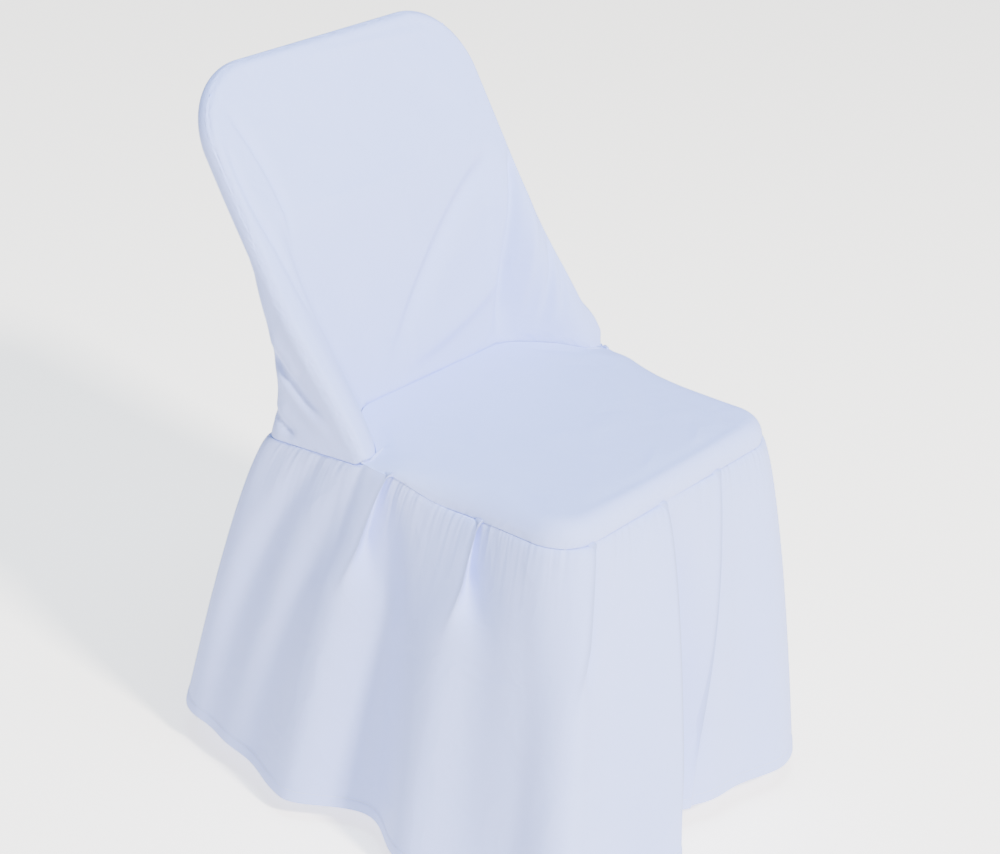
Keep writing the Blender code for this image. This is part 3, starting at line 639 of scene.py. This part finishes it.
# Creases of the near wing: start, middle, end as depth and height, and so on
WING_CREASES = (
    ((0.184, 0.570), (0.158, 0.530), (0.138, 0.512), 0.006, 0.010, 0.0024),
    ((0.178, 0.545), (0.150, 0.505), (0.100, 0.462), 0.005, 0.009, -0.0064),
    ((0.172, 0.530), (0.138, 0.490), (0.094, 0.455), 0.008, 0.006, 0.0036),
    ((0.180, 0.470), (0.160, 0.452), (0.140, 0.440), 0.005, 0.006, -0.0048),
    ((0.182, 0.500), (0.174, 0.468), (0.150, 0.436), 0.010, 0.010, 0.0022),
)
REAR_CREASES = (
    ((-0.150, 0.610), (-0.100, 0.540), (-0.120, 0.450), 0.022, 0.022, -0.0040),
    ((0.130, 0.620), (0.080, 0.540), (0.110, 0.450), 0.022, 0.022, -0.0040),
    ((-0.060, 0.560), (-0.020, 0.500), (-0.030, 0.440), 0.020, 0.020, 0.0035),
    ((-0.170, 0.690), (0.000, 0.660), (0.150, 0.700), 0.025, 0.025, -0.0025),
)


def wing_section(depth, corner, place):
    """Inset and depth behind the back's plane, along the wrap from seam to rear face."""
    front_arc = RIM_RADIUS * (math.pi / 2.0 - RIM_SEAM_ANGLE)
    side = depth - corner
    length = front_arc + side + corner * math.pi / 2.0
    distance = place * length
    angle = RIM_SEAM_ANGLE + np.minimum(distance, front_arc) / RIM_RADIUS
    inset = RIM_RADIUS * (1.0 - np.sin(angle))
    behind = -RIM_RADIUS * np.cos(angle)
    behind = np.where(distance > front_arc, np.minimum(distance - front_arc, side), behind)
    turned = np.clip((distance - front_arc - side) / corner, 0.0, None)
    inset = np.where(turned > 0.0, corner * (1.0 - np.cos(turned)), inset)
    return inset, behind + corner * np.sin(turned)


def outside_back_grid():
    """Outer face of the outside back with its wings, creased."""
    foot = float(seat_seam_along(SEAM_HALF))
    heights, depths = zip(*OUTSIDE_HANGS)
    lowest = BACK_FOOT[1] + foot * COSINE

    def ring_point(k, edge, place):
        _, along = frame_path(back_half, BACK_LENGTH, BACK_RADIUS, foot, 0.0, edge, place)
        plane = back_point(0.0, along, 0.0)
        free = smooth((WING_FREE_BELOW - along) / WING_FREE_OVER)
        low = np.maximum(1.0 - (along - foot) / WING_LEVEL_FROM, 0.0)
        drop = (lowest - WING_REAR_Z) * low
        level = plane[..., 2] - drop
        hangs = sum(np.interp(level + step, heights, depths) for step in HANG_STEPS)
        hangs = hangs / len(HANG_STEPS) - plane[..., 1]
        depth = mix(RIM_RADIUS, np.maximum(hangs, RIM_RADIUS), free)
        corner = mix(RIM_RADIUS, np.minimum(OUTSIDE_CORNER, depth), free)
        inset, behind = wing_section(depth, corner, k / (OUTSIDE_RINGS - 1))
        x, along = frame_path(back_half, BACK_LENGTH, BACK_RADIUS, foot, inset, edge, place)
        wrapped = behind > 0.0
        spread = np.where(wrapped, WING_SPREAD * behind / depth * low, 0.0)
        x = x + np.copysign(spread, x) + back_middle(along)
        kept = np.where(wrapped, behind * (1.0 - free), behind)
        point = back_point(x, along, -kept)
        point[..., 1] += np.where(wrapped, behind * free, 0.0)
        point[..., 2] -= np.where(wrapped, drop * behind / depth, 0.0)
        return point

    def foot_point(u, left, right):
        return mix(left, right, u[:, None])

    grid = framed_grid(OUTSIDE_COLUMNS, OUTSIDE_ROWS, OUTSIDE_RINGS, ring_point, foot_point)
    x, y, z = grid[..., 0].copy(), grid[..., 1].copy(), grid[..., 2].copy()
    from_rim, up = seam_distances(grid)
    near = smooth((-x - REAR_HALF) / WING_BLEND) * smooth((from_rim - WING_FROM_RIM) / WING_FADE)
    near *= smooth(up / WING_FADE)
    grid[..., 0] -= near * crease_heights(y, z, WING_CREASES)
    rear = smooth((REAR_HALF - np.abs(x)) / REAR_FADE) * smooth(up / REAR_FADE_LOW)
    rear *= smooth((from_rim - REAR_FROM_RIM) / REAR_FADE)
    grid[..., 1] += rear * crease_heights(x, z, REAR_CREASES)
    return bulged(grid), np.minimum(from_rim, up)


def level_ways_in(line):
    """Level ways in from a line of points that goes round the cover."""
    run = np.gradient(line, axis=0)
    inward = unit(np.stack((-run[:, 1], run[:, 0], np.zeros(len(line))), axis=1))
    middle = line.mean(axis=0)
    inward *= np.sign(np.sum(inward * (middle - line), axis=1)).mean()
    return SEAM_ALLOWANCE * inward


outside_points, outside_seam = outside_back_grid()
outside_ways = (level_ways_in(outside_points[0]), rim_ways_in(outside_points))
outside_back = sewn_panel(
    "outside_back_cloth", outside_points, True, False, WHITE_CLOTH, outside_seam, outside_ways
)
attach(outside_back, "root")
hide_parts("outside_back")

# Seat. A flat panel of the same cloth, rolled down over its front and sides to
# the skirt's seam and sewn to the inside back at its rear.
SEAT_HALF = 0.203
SEAT_FRONT = -0.207
SEAT_RADIUS = 0.048
SEAT_EDGE_DROP = 0.029
SEAT_ROLL = 0.016
SEAT_HOLLOW = 0.001
SEAT_HOLLOW_OVER = 0.10
SEAT_LEVEL_OVER = 0.05
SEAT_WIDENS_OVER = 0.16
EDGE_DROP_OVER = 0.12
SIDE_ROLL = 2.1
CORNER_ROLL = 1.5
CORNER_POWER = 6
CORNER_SHARE = 0.62
SEAT_FADE_REAR = 0.02
SEAT_COLUMNS = 151
SEAT_ROWS = 121
SEAT_INSETS = [SEAT_ROLL * share for share in (0.0, 0.03, 0.08, 0.15, 0.24, 0.34, 0.46, 0.60, 0.76, 1.0)]

# Creases of the seat: start, middle, end across and forward, and so on
SEAT_CREASES = (
    ((-0.150, -0.060), (-0.120, 0.020), (-0.150, 0.110), 0.014, 0.020, 0.0012),
    ((-0.060, 0.040), (0.010, 0.075), (0.090, 0.070), 0.020, 0.014, 0.0010),
    ((0.060, 0.120), (0.110, 0.090), (0.150, 0.030), 0.012, 0.016, -0.0010),
    ((-0.190, 0.175), (-0.170, 0.130), (-0.160, 0.080), 0.008, 0.010, -0.0014),
    ((0.195, -0.040), (0.160, -0.070), (0.140, -0.110), 0.008, 0.010, -0.0016),
    ((-0.195, -0.045), (-0.165, -0.075), (-0.145, -0.110), 0.008, 0.010, -0.0016),
    ((-0.170, 0.178), (0.000, 0.188), (0.190, 0.181), 0.006, 0.009, -0.0012),
    ((-0.186, 0.150), (-0.190, 0.040), (-0.200, -0.030), 0.004, 0.007, -0.0012),
    ((-0.030, 0.176), (0.004, 0.166), (0.030, 0.150), 0.005, 0.004, 0.0009),
    ((0.060, 0.178), (0.090, 0.168), (0.110, 0.146), 0.004, 0.005, 0.0010),
    ((0.130, 0.176), (0.150, 0.160), (0.160, 0.136), 0.005, 0.004, -0.0010),
)


def seat_half(forward):
    """Half-width of the seat, wider towards the back."""
    widening = smooth(1.0 - (forward + BACK_FOOT[0]) / SEAT_WIDENS_OVER)
    return mix(SEAT_HALF, SEAM_HALF, widening)


def seat_rear_y(x):
    """Rear edge of the seat."""
    along = seat_seam_along(x)
    return back_point(x, along, inside_back_out(x, along))[..., 1]


def seat_height(x, forward, inset):
    """Height of the seat's cloth, rolled down to the skirt's seam at its edges."""
    from_rear = forward + seat_rear_y(x)
    level = mix(seat_rear_height(x), SEAT_TOP, smooth(from_rear / SEAT_LEVEL_OVER))
    level = level - SEAT_HOLLOW * smooth(inset / SEAT_ROLL) * smooth(from_rear / SEAT_HOLLOW_OVER)
    roll = np.clip(1.0 - inset / SEAT_ROLL, 0.0, 1.0)
    drop = SEAT_EDGE_DROP * smooth((forward + BACK_FOOT[0]) / EDGE_DROP_OVER)
    return level - drop * (1.0 - np.sqrt(1.0 - roll * roll))


def seat_grid():
    """Outer face of the seat, its rows running forward from the rear seam."""
    foot = float(seat_rear_y(SEAM_HALF))

    def ring_point(k, edge, place):
        inset = SEAT_INSETS[k]
        if edge == "end":
            wider = mix(1.0, CORNER_ROLL, np.abs(2.0 * place - 1.0) ** CORNER_POWER)
        else:
            wider = mix(SIDE_ROLL, CORNER_ROLL, place ** CORNER_POWER)
        x, forward = frame_path(seat_half, -SEAT_FRONT, SEAT_RADIUS, -foot, inset * wider, edge, place)
        if edge != "end":
            x[0] = math.copysign(SEAM_HALF - inset * CORNER_SHARE, x[0])
            forward[0] = -seat_rear_y(x[0])
        return np.stack((x, forward, np.full_like(x, inset)), axis=-1)

    def foot_point(u, left, right):
        x = mix(left[0], right[0], u)
        return np.stack((x, -seat_rear_y(x), np.full_like(x, SEAT_ROLL)), axis=-1)

    flat = framed_grid(SEAT_COLUMNS, SEAT_ROWS, len(SEAT_INSETS), ring_point, foot_point)
    x, forward, inset = flat[..., 0], flat[..., 1], flat[..., 2]
    height = seat_height(x, forward, inset)
    fade = smooth(inset / SEAT_ROLL) * smooth((forward + seat_rear_y(x)) / SEAT_FADE_REAR)
    height = height + fade * crease_heights(x, forward, SEAT_CREASES)
    grid = np.stack((x, -forward, height), axis=-1)
    return grid, np.minimum(*seam_distances(grid))


seat_points, seat_seam = seat_grid()
seat_edges = np.concatenate((seat_points[:-1, 0], seat_points[-1], seat_points[-2::-1, -1]))
edge_ways = level_ways_in(seat_edges)
left_ways = edge_ways[:SEAT_ROWS]
end_ways = edge_ways[SEAT_ROWS - 1:SEAT_ROWS - 1 + SEAT_COLUMNS]
right_ways = edge_ways[SEAT_ROWS + SEAT_COLUMNS - 2:][::-1]
seat_ways = (np.tile(SEAT_SEAM_IN, (SEAT_COLUMNS, 1)), (left_ways, right_ways, end_ways))
seat = sewn_panel("seat_cloth", seat_points, True, False, WHITE_CLOTH, seat_seam, seat_ways)
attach(seat, "root")
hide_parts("seat")

# Skirt. A long strip of the same cloth, folded into knife pleats along its top
# and sewn under the seat's edge and the outside back. The pleats open into
# loose folds on their way down to a turned-up hem just above the floor.
HEM_HEIGHT = 0.026
FLARE_POWER = 0.70
SKIRT_HEM = (
    (-0.270, -0.276, HEM_HEIGHT, 0.085),
    (0.230, -0.286, HEM_HEIGHT + 0.003, 0.085),
    (0.258, 0.090, HEM_HEIGHT + 0.003, 0.080),
    (0.246, 0.298, HEM_HEIGHT + 0.006, 0.060),
    (-0.238, 0.305, HEM_HEIGHT + 0.018, 0.060),
    (-0.260, 0.090, HEM_HEIGHT - 0.003, 0.080),
)
FRONT, RIGHT_SIDE, RIGHT_WING, REAR, LEFT_WING, LEFT_SIDE = range(6)

# Knife pleats: edge of the ring, place at the seam and at the hem, width, height
# and flank at the hem, laps at the seam and hem, how far down it starts to open
KNIFE_PLEATS = (
    (FRONT, 0.060, 0.010, 0.030, 0.022, 0.034, 0.012, 0.000, 0.24),
    (FRONT, 0.392, 0.365, 0.062, 0.034, 0.010, 0.014, 0.010, 0.72),
    (FRONT, 0.667, 0.560, 0.030, 0.006, 0.008, 0.014, 0.004, 0.72),
    (RIGHT_SIDE, 0.030, 0.040, 0.034, 0.010, 0.020, 0.012, 0.000, 0.20),
    (RIGHT_SIDE, 0.470, 0.480, 0.045, 0.022, 0.040, 0.014, 0.004, 0.16),
    (RIGHT_SIDE, 0.930, 0.970, 0.034, 0.016, 0.020, 0.014, 0.002, 0.20),
    (LEFT_SIDE, 0.105, -0.010, 0.056, 0.026, 0.050, 0.012, 0.000, 0.19),
    (LEFT_SIDE, 0.548, 0.500, 0.056, 0.026, 0.054, 0.014, 0.000, 0.15),
)

# Loose folds: edge, place at the seam and at the hem, width, height, where it
# starts, share of its height left at the hem
LOOSE_FOLDS = (
    (FRONT, 0.150, 0.200, 0.036, -0.010, 0.05, 1.0),
    (FRONT, 0.470, 0.500, 0.036, -0.028, 0.04, 1.0),
    (FRONT, 0.780, 0.740, 0.036, -0.010, 0.10, 1.0),
    (FRONT, 0.900, 0.880, 0.050, 0.010, 0.05, 1.0),
    (RIGHT_SIDE, 0.200, 0.230, 0.040, -0.014, 0.05, 1.0),
    (RIGHT_SIDE, 0.600, 0.700, 0.036, -0.014, 0.05, 1.0),
    (RIGHT_WING, 0.500, 0.450, 0.030, -0.012, 0.10, 0.8),
    (RIGHT_WING, 0.880, 0.800, 0.030, 0.010, 0.10, 0.8),
    (REAR, 0.150, 0.160, 0.036, 0.014, 0.12, 1.0),
    (REAR, 0.380, 0.360, 0.036, 0.016, 0.08, 1.0),
    (REAR, 0.620, 0.640, 0.036, 0.016, 0.08, 1.0),
    (REAR, 0.850, 0.840, 0.036, 0.014, 0.12, 1.0),
    (LEFT_WING, 0.150, 0.080, 0.030, 0.010, 0.00, 0.6),
    (LEFT_WING, 0.480, 0.120, 0.024, 0.010, 0.00, 0.4),
    (LEFT_WING, 0.680, 0.150, 0.024, -0.015, 0.00, 0.1),
    (LEFT_WING, 0.880, 0.460, 0.028, 0.011, 0.00, 0.8),
    (LEFT_SIDE, 0.010, -0.360, 0.026, -0.018, 0.00, 0.1),
    (LEFT_SIDE, 0.150, 0.290, 0.036, -0.022, 0.06, 1.0),
    (LEFT_SIDE, 0.840, 0.880, 0.026, -0.009, 0.08, 1.0),
)
SLACK_SIDE = 1.3
TUCK_SIDE = 1.7
TUCK_DEPTH = 0.45
FOLD_NARROW = 0.45
FOLD_OPENING = 0.65
PLEAT_OPENING = 0.20
SEWN_PLEAT = 0.0022
SEWN_EDGE = 0.0035
# Half-width of the painted shade line along each closed pleat's edge.
EDGE_SHADE_WIDTH = 0.0035
RUN_STEPS = 120
FINE_STEPS = 12001
SKIRT_COLUMNS = 590
PLEAT_DENSER = 5.0
PLEAT_REACH = 0.010
HEM_TURN = 0.015
HEM_STEP = 0.0007
HEM_STEP_OVER = 0.001
HEM_THREAD = 0.013
HEM_DENT = 0.0006
HEM_DENT_OVER = 0.0008
SKIRT_DROP = 0.395


def rounded_corner_point(corners, edge, place):
    """Point on a rounded ring of corners, from the middle of one round to the next."""
    number = len(corners)
    before, start, end, after = (np.array(corners[(edge + k) % number]) for k in (-1, 0, 1, 2))

    def round_of(previous, corner, following):
        into = corner[:2] - previous[:2]
        out = following[:2] - corner[:2]
        into /= np.linalg.norm(into)
        out /= np.linalg.norm(out)
        turn = math.acos(min(max(float(into @ out), -1.0), 1.0))
        return out, turn, corner[3] * math.tan(turn / 2.0)

    out, turn, cut = round_of(before, start, end)
    _, next_turn, next_cut = round_of(start, end, after)
    straight = float(np.linalg.norm(end[:2] - start[:2])) - cut - next_cut
    first = start[3] * turn / 2.0
    second = end[3] * next_turn / 2.0
    distance = place * (first + straight + second)
    side = np.array((out[1], -out[0]))
    if distance < first:
        angle = (first - distance) / start[3]
        centre = start[:2] + out * cut - side * start[3]
        flat = centre + start[3] * (side * math.cos(angle) - out * math.sin(angle))
    elif distance <= first + straight:
        flat = start[:2] + out * (cut + distance - first)
    else:
        angle = (distance - first - straight) / end[3]
        centre = end[:2] - out * next_cut - side * end[3]
        flat = centre + end[3] * (side * math.cos(angle) + out * math.sin(angle))
    return np.array((flat[0], flat[1], mix(start[2], end[2], place)))


def sewn_edge_runs():
    """The skirt's sewn edge as six runs of points, one for each edge of the ring."""
    foot = -float(seat_rear_y(SEAM_HALF))

    def seat_edge(edge, low, high):
        place = mix(low, high, np.linspace(0.0, 1.0, RUN_STEPS + 1))
        x, forward = frame_path(seat_half, -SEAT_FRONT, SEAT_RADIUS, foot, 0.0, edge, place)
        return np.stack((x, -forward, seat_height(x, forward, 0.0 * x)), axis=-1)

    wing = outside_points[0]
    rings = OUTSIDE_RINGS - 1
    return [
        seat_edge("end", 0.0, 1.0),
        seat_edge("right", 1.0, 0.0),
        wing[::-1][: rings + 1],
        wing[::-1][rings:-rings],
        wing[: rings + 1][::-1],
        seat_edge("left", 0.0, 1.0),
    ]


def skirt_rows():
    """Shares of the skirt's height, close together at the seam and at the hem."""
    near_seam = np.array((0.0, 0.001, 0.0025, 0.0045, 0.007, 0.010, 0.014, 0.019)) / SKIRT_DROP
    above_hem = (0.020, 0.0175, 0.0158, 0.0148, 0.0138, 0.0130, 0.0122, 0.0105, 0.007, 0.0035, 0.0015, 0.0)
    near_hem = 1.0 - np.array(above_hem) / SKIRT_DROP
    between = np.linspace(0.026 / SKIRT_DROP, 1.0 - 0.027 / SKIRT_DROP, 46)
    return np.concatenate((near_seam, between, near_hem))


def line_lengths(line):
    """Distance along a line of points from its first."""
    return np.concatenate(([0.0], np.cumsum(np.linalg.norm(np.diff(line, axis=0), axis=1))))


def points_at(places, marks, line):
    """Points on a line of points, at places measured by its marks."""
    return np.stack([np.interp(places, marks, line[:, k]) for k in range(3)], axis=-1)


def skirt_grid():
    """Outer face of the skirt as a ring of points, from its seam down to the hem."""
    edges = len(SKIRT_HEM)
    runs = sewn_edge_runs()
    marks = np.linspace(0.0, edges, edges * RUN_STEPS + 1)
    seam = np.zeros((len(marks), 3))
    hem = np.zeros((len(marks), 3))
    for k, mark in enumerate(marks):
        edge = min(int(mark), edges - 1)
        run = runs[edge]
        steps = line_lengths(run)
        seam[k] = points_at((mark - edge) * steps[-1], steps, run)
        hem[k] = rounded_corner_point(SKIRT_HEM, edge, mark - edge)
    seam_length, hem_length = line_lengths(seam), line_lengths(hem)
    seam_around, hem_around = seam_length[-1], hem_length[-1]
    knots = sorted(((row[0] + row[2]) % edges, row[0] + row[1]) for row in KNIFE_PLEATS)
    knot_hem, knot_seam = np.array(knots).T
    knot_seam += edges * np.round((knot_hem - knot_seam) / edges)
    wrapped = [np.concatenate((knot - edges, knot, knot + edges)) for knot in (knot_hem, knot_seam)]
    fine = np.linspace(0.0, hem_around, FINE_STEPS)
    fine_place = np.interp(fine, hem_length, marks)
    density = np.ones_like(fine)
    for place in knot_hem:
        centre = np.interp(place % edges, marks, hem_length)
        gap = (fine - centre + hem_around / 2.0) % hem_around - hem_around / 2.0
        density += PLEAT_DENSER * bell(gap, PLEAT_REACH)
    share = np.concatenate(([0.0], np.cumsum((density[1:] + density[:-1]) / 2.0)))
    even = np.linspace(0.0, share[-1], SKIRT_COLUMNS, endpoint=False)
    at_hem = np.interp(even, share, fine_place)
    at_seam = np.interp(at_hem, *wrapped)
    seam_marks = np.interp(at_seam % edges, marks, seam_length) + seam_around * np.floor(at_seam / edges)
    hem_marks = np.interp(at_hem, marks, hem_length)
    seam_points = points_at(at_seam % edges, marks, seam)
    hem_points = points_at(at_hem, marks, hem)

    rows = skirt_rows()
    grid = np.zeros((len(rows), SKIRT_COLUMNS, 3))
    pleat_edge_shade = np.zeros((len(rows), SKIRT_COLUMNS))
    for j, down in enumerate(rows):
        flare = down ** FLARE_POWER
        line = np.concatenate((mix(seam_points[:, :2], hem_points[:, :2], flare),
                               mix(seam_points[:, 2:], hem_points[:, 2:], down)), axis=1)
        tangent = np.roll(line, -1, axis=0) - np.roll(line, 1, axis=0)
        tangent[:, 2] = 0.0
        tangent = unit(tangent)
        outward = np.stack((tangent[:, 1], -tangent[:, 0], np.zeros(SKIRT_COLUMNS)), axis=1)
        marks_here = mix(seam_marks, hem_marks, flare)
        around = mix(seam_around, hem_around, flare)

        def gap_from(edge, seam_place, hem_place):
            centre_seam = np.interp((edge + seam_place) % edges, marks, seam_length)
            centre_hem = np.interp((edge + hem_place) % edges, marks, hem_length)
            centre_seam += seam_around * round((centre_hem / hem_around) - (centre_seam / seam_around))
            centre = mix(centre_seam, centre_hem, flare)
            return (marks_here - centre + around / 2.0) % around - around / 2.0

        push = np.zeros(SKIRT_COLUMNS)
        lean = np.zeros(SKIRT_COLUMNS)
        edge_shade_mask = np.zeros(SKIRT_COLUMNS)
        for edge, seam_place, hem_place, width, height, flank, lap, hem_lap, opens in KNIFE_PLEATS:
            gap = gap_from(edge, seam_place, hem_place)
            opened = smooth((down - opens) / PLEAT_OPENING)
            spread = width * mix(FOLD_NARROW, 1.0, down)
            steep = mix(SEWN_EDGE, flank * mix(FOLD_NARROW, 1.0, down), opened)
            rise = mix(SEWN_PLEAT, height, down ** FOLD_OPENING)
            slack = bell(gap, SLACK_SIDE * spread)
            drop = bell(gap, steep)
            tuck = bell(gap, TUCK_SIDE * spread)
            sewn = mix(1.0, TUCK_DEPTH, opened)
            push += rise * np.where(gap < 0.0, slack, (1.0 + sewn) * drop - sewn * tuck)
            lean += mix(lap, hem_lap, opened) * np.where(gap < 0.0, slack, drop)
            # Painted shade: a dark line along the edge of each pleat while it is still closed.
            edge_shade_mask = np.maximum(edge_shade_mask, (1.0 - opened) * bell(gap, EDGE_SHADE_WIDTH))
        for edge, seam_place, hem_place, width, height, start, hem_share in LOOSE_FOLDS:
            gap = gap_from(edge, seam_place, hem_place)
            open_down = max(down - start, 0.0) / (1.0 - start)
            spread = width * mix(FOLD_NARROW, 1.0, open_down)
            rise = height * open_down ** FOLD_OPENING * mix(1.0, hem_share, open_down)
            push += rise * bell(gap, SLACK_SIDE * spread)
        above_hem = (1.0 - down) * SKIRT_DROP
        push += HEM_STEP * float(smooth((HEM_TURN - above_hem) / HEM_STEP_OVER))
        push -= HEM_DENT * bell(above_hem - HEM_THREAD, HEM_DENT_OVER)
        grid[j] = line + outward * push[:, None] + tangent * lean[:, None]
        pleat_edge_shade[j] = edge_shade_mask
        if j == 0:
            allowance = grid[j] - outward * (SEAM_ALLOWANCE + push[:, None])
    pleat_edge_shade = np.concatenate((pleat_edge_shade[:1], pleat_edge_shade))
    return np.concatenate((allowance[None], grid)), np.concatenate(([0.0], rows)), pleat_edge_shade


skirt_points, skirt_shares, skirt_edge_shade = skirt_grid()
skirt_seam = np.repeat((skirt_shares * SKIRT_DROP)[:, None], SKIRT_COLUMNS, axis=1)
skirt = sewn_panel(
    "skirt_cloth", skirt_points, True, True, GATHERED_CLOTH, skirt_seam, pleat_edge_shade=skirt_edge_shade
)
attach(skirt, "root")
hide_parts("skirt")

# Hem stitches. One line of white polyester thread holds the turned-up hem, in
# short straight stitches pressed a little into the cloth.
STITCH_SPACING = 0.0034
STITCH_LENGTH = 0.0026
STITCH_WIDTH = 0.0005
STITCH_RAISED = 0.2


def stitch_tree(thread):
    """Geometry nodes that lay stitches along a line of points."""
    tree, into, out = new_group(
        "hem_stitches", "GeometryNodeTree",
        (
            ("Line", "Geometry"),
            ("Spacing", "Float", STITCH_SPACING),
            ("Length", "Float", STITCH_LENGTH),
            ("Width", "Float", STITCH_WIDTH),
        ),
        (("Stitches", "Geometry"),),
    )
    curve = add_node(tree, "GeometryNodeMeshToCurve", {0: into["Line"]})
    spaced = {"Curve": curve.outputs[0], "Length": into["Spacing"]}
    even = add_node(tree, "GeometryNodeResampleCurve", spaced, mode="LENGTH")
    bead = add_node(tree, "GeometryNodeMeshUVSphere", {"Segments": 6, "Rings": 4, "Radius": 0.5})
    along = {"Vector": add_node(tree, "GeometryNodeInputTangent").outputs[0]}
    turn = add_node(tree, "FunctionNodeAlignRotationToVector", along, axis="X")
    sides = {"X": into["Length"], "Y": into["Width"], "Z": into["Width"]}
    size = add_node(tree, "ShaderNodeCombineXYZ", sides)
    place = add_node(tree, "GeometryNodeInstanceOnPoints", {
        "Points": even.outputs[0], "Instance": bead.outputs["Mesh"],
        "Rotation": turn.outputs[0], "Scale": size.outputs[0],
    })
    real = add_node(tree, "GeometryNodeRealizeInstances", {0: place.outputs[0]})
    rounded = add_node(tree, "GeometryNodeSetShadeSmooth", {0: real.outputs[0]})
    finish = {"Geometry": rounded.outputs[0], "Material": thread}
    feed(tree, out, {"Stitches": add_node(tree, "GeometryNodeSetMaterial", finish).outputs[0]})
    return tree


def hem_stitch_line():
    """Line of the hem's stitches on the skirt's outer face."""
    row = int(np.argmin(np.abs((1.0 - skirt_shares) * SKIRT_DROP - HEM_THREAD)))
    outward = outward_normals(skirt_points, True, True)[row]
    return skirt_points[row] + outward * STITCH_WIDTH * STITCH_RAISED - HANG_POINT


def white_thread():
    """Spun polyester thread, whiter than the cloth."""
    material, tree, shader = new_material("white_thread")
    place = add_node(tree, "ShaderNodeTexCoord").outputs["Object"]
    twist = add_node(tree, "ShaderNodeTexNoise", {"Vector": place, "Scale": 900.0})
    colour = mix_colour(tree, twist.outputs[0], (0.70, 0.73, 0.82, 1.0), (0.82, 0.84, 0.90, 1.0))
    feed(tree, shader, {"Roughness": 0.55, "Base Color": colour})
    return material


stitch_line = hem_stitch_line()
line_mesh = bpy.data.meshes.new("hem_line")
ring = [(k, (k + 1) % len(stitch_line)) for k in range(len(stitch_line))]
line_mesh.from_pydata(stitch_line.tolist(), ring, [])
line_object = new_object("hem_line", line_mesh)
stitching = line_object.modifiers.new("stitches", "NODES")
stitching.node_group = stitch_tree(white_thread())
evaluated = line_object.evaluated_get(bpy.context.evaluated_depsgraph_get())
stitch_mesh = bpy.data.meshes.new_from_object(evaluated)
stitch_mesh.name = "hem_stitches"
hem_stitches = new_object("hem_stitches", stitch_mesh)
bpy.data.objects.remove(line_object, do_unlink=True)
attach(hem_stitches, "root")

# Setting. A flat pale floor, a soft key light from the front and above, a faint
# blue one over the seat, and the camera a little above, in front and to the left.
FLOOR_Z = -float(HANG_POINT[2])
FLOOR_HALF = 12.0
CAMERA_TURN = math.radians(-54.4)
CAMERA_RISE = math.radians(26.0)
CAMERA_ROLL = math.radians(4.65)
CAMERA_DISTANCE = 2.86
CAMERA_AIM_SIDE = -0.030
CAMERA_AIM_UP = -0.025
CAMERA_AIM_HEIGHT = 0.45
CAMERA_FOCAL = 2559.0
PICTURE_WIDTH = 1000.0
SENSOR_WIDTH = 36.0


def pale_floor():
    """Plain floor, far larger than the cover."""
    mesh = bpy.data.meshes.new("floor")
    sides = ((-1, -1), (1, -1), (1, 1), (-1, 1))
    corners = [(x * FLOOR_HALF, y * FLOOR_HALF, FLOOR_Z) for x, y in sides]
    mesh.from_pydata(corners, [], [(0, 1, 2, 3)])
    material, tree, shader = new_material("pale_floor")
    feed(tree, shader, {
        "Base Color": (0.97, 0.88, 0.76, 1.0),
        "Roughness": 0.9,
        "Emission Color": (1.0, 0.97, 0.92, 1.0),
        "Emission Strength": 1.9,
    })
    mesh.materials.append(material)
    return new_object("floor", mesh)


def soft_light(name, place, aim, size, power, colour):
    """Square area light aimed at a point."""
    lamp = bpy.data.lights.new(name, "AREA")
    lamp.size = size
    lamp.energy = power
    lamp.color = colour
    light = new_object(name, lamp)
    light.location = place
    light.rotation_euler = (Vector(aim) - Vector(place)).to_track_quat("-Z", "Y").to_euler()


pale_floor()
soft_light("key", (-1.1, -5.9, 4.5), (0.0, -0.2, -0.45), 0.9, 1500.0, (1.0, 0.97, 0.93))
soft_light("top", (-0.2, -0.6, 3.4), (0.0, -0.2, -0.4), 1.8, 200.0, (0.50, 0.70, 1.0))

world = bpy.data.worlds.new("studio")
world.use_nodes = True
sky = world.node_tree.nodes["Background"]
sky.inputs["Color"].default_value = (0.36, 0.60, 1.0, 1.0)
sky.inputs["Strength"].default_value = 0.30
bpy.context.scene.world = world

behind = Vector((
    math.sin(CAMERA_TURN) * math.cos(CAMERA_RISE),
    -math.cos(CAMERA_TURN) * math.cos(CAMERA_RISE),
    math.sin(CAMERA_RISE),
))
level_right = Vector((0.0, 0.0, 1.0)).cross(behind).normalized()
level_up = behind.cross(level_right)
right = math.cos(CAMERA_ROLL) * level_right + math.sin(CAMERA_ROLL) * level_up
up = math.cos(CAMERA_ROLL) * level_up - math.sin(CAMERA_ROLL) * level_right
aim = Vector((0.0, 0.0, CAMERA_AIM_HEIGHT)) - Vector(HANG_POINT)
aim += CAMERA_AIM_SIDE * level_right + CAMERA_AIM_UP * level_up
lens = bpy.data.cameras.new("camera")
lens.sensor_width = SENSOR_WIDTH
lens.lens = CAMERA_FOCAL * SENSOR_WIDTH / PICTURE_WIDTH
camera = new_object("camera", lens)
turned = Matrix((right, up, behind)).transposed().to_4x4()
camera.matrix_world = Matrix.Translation(aim + CAMERA_DISTANCE * behind) @ turned
bpy.context.scene.camera = camera
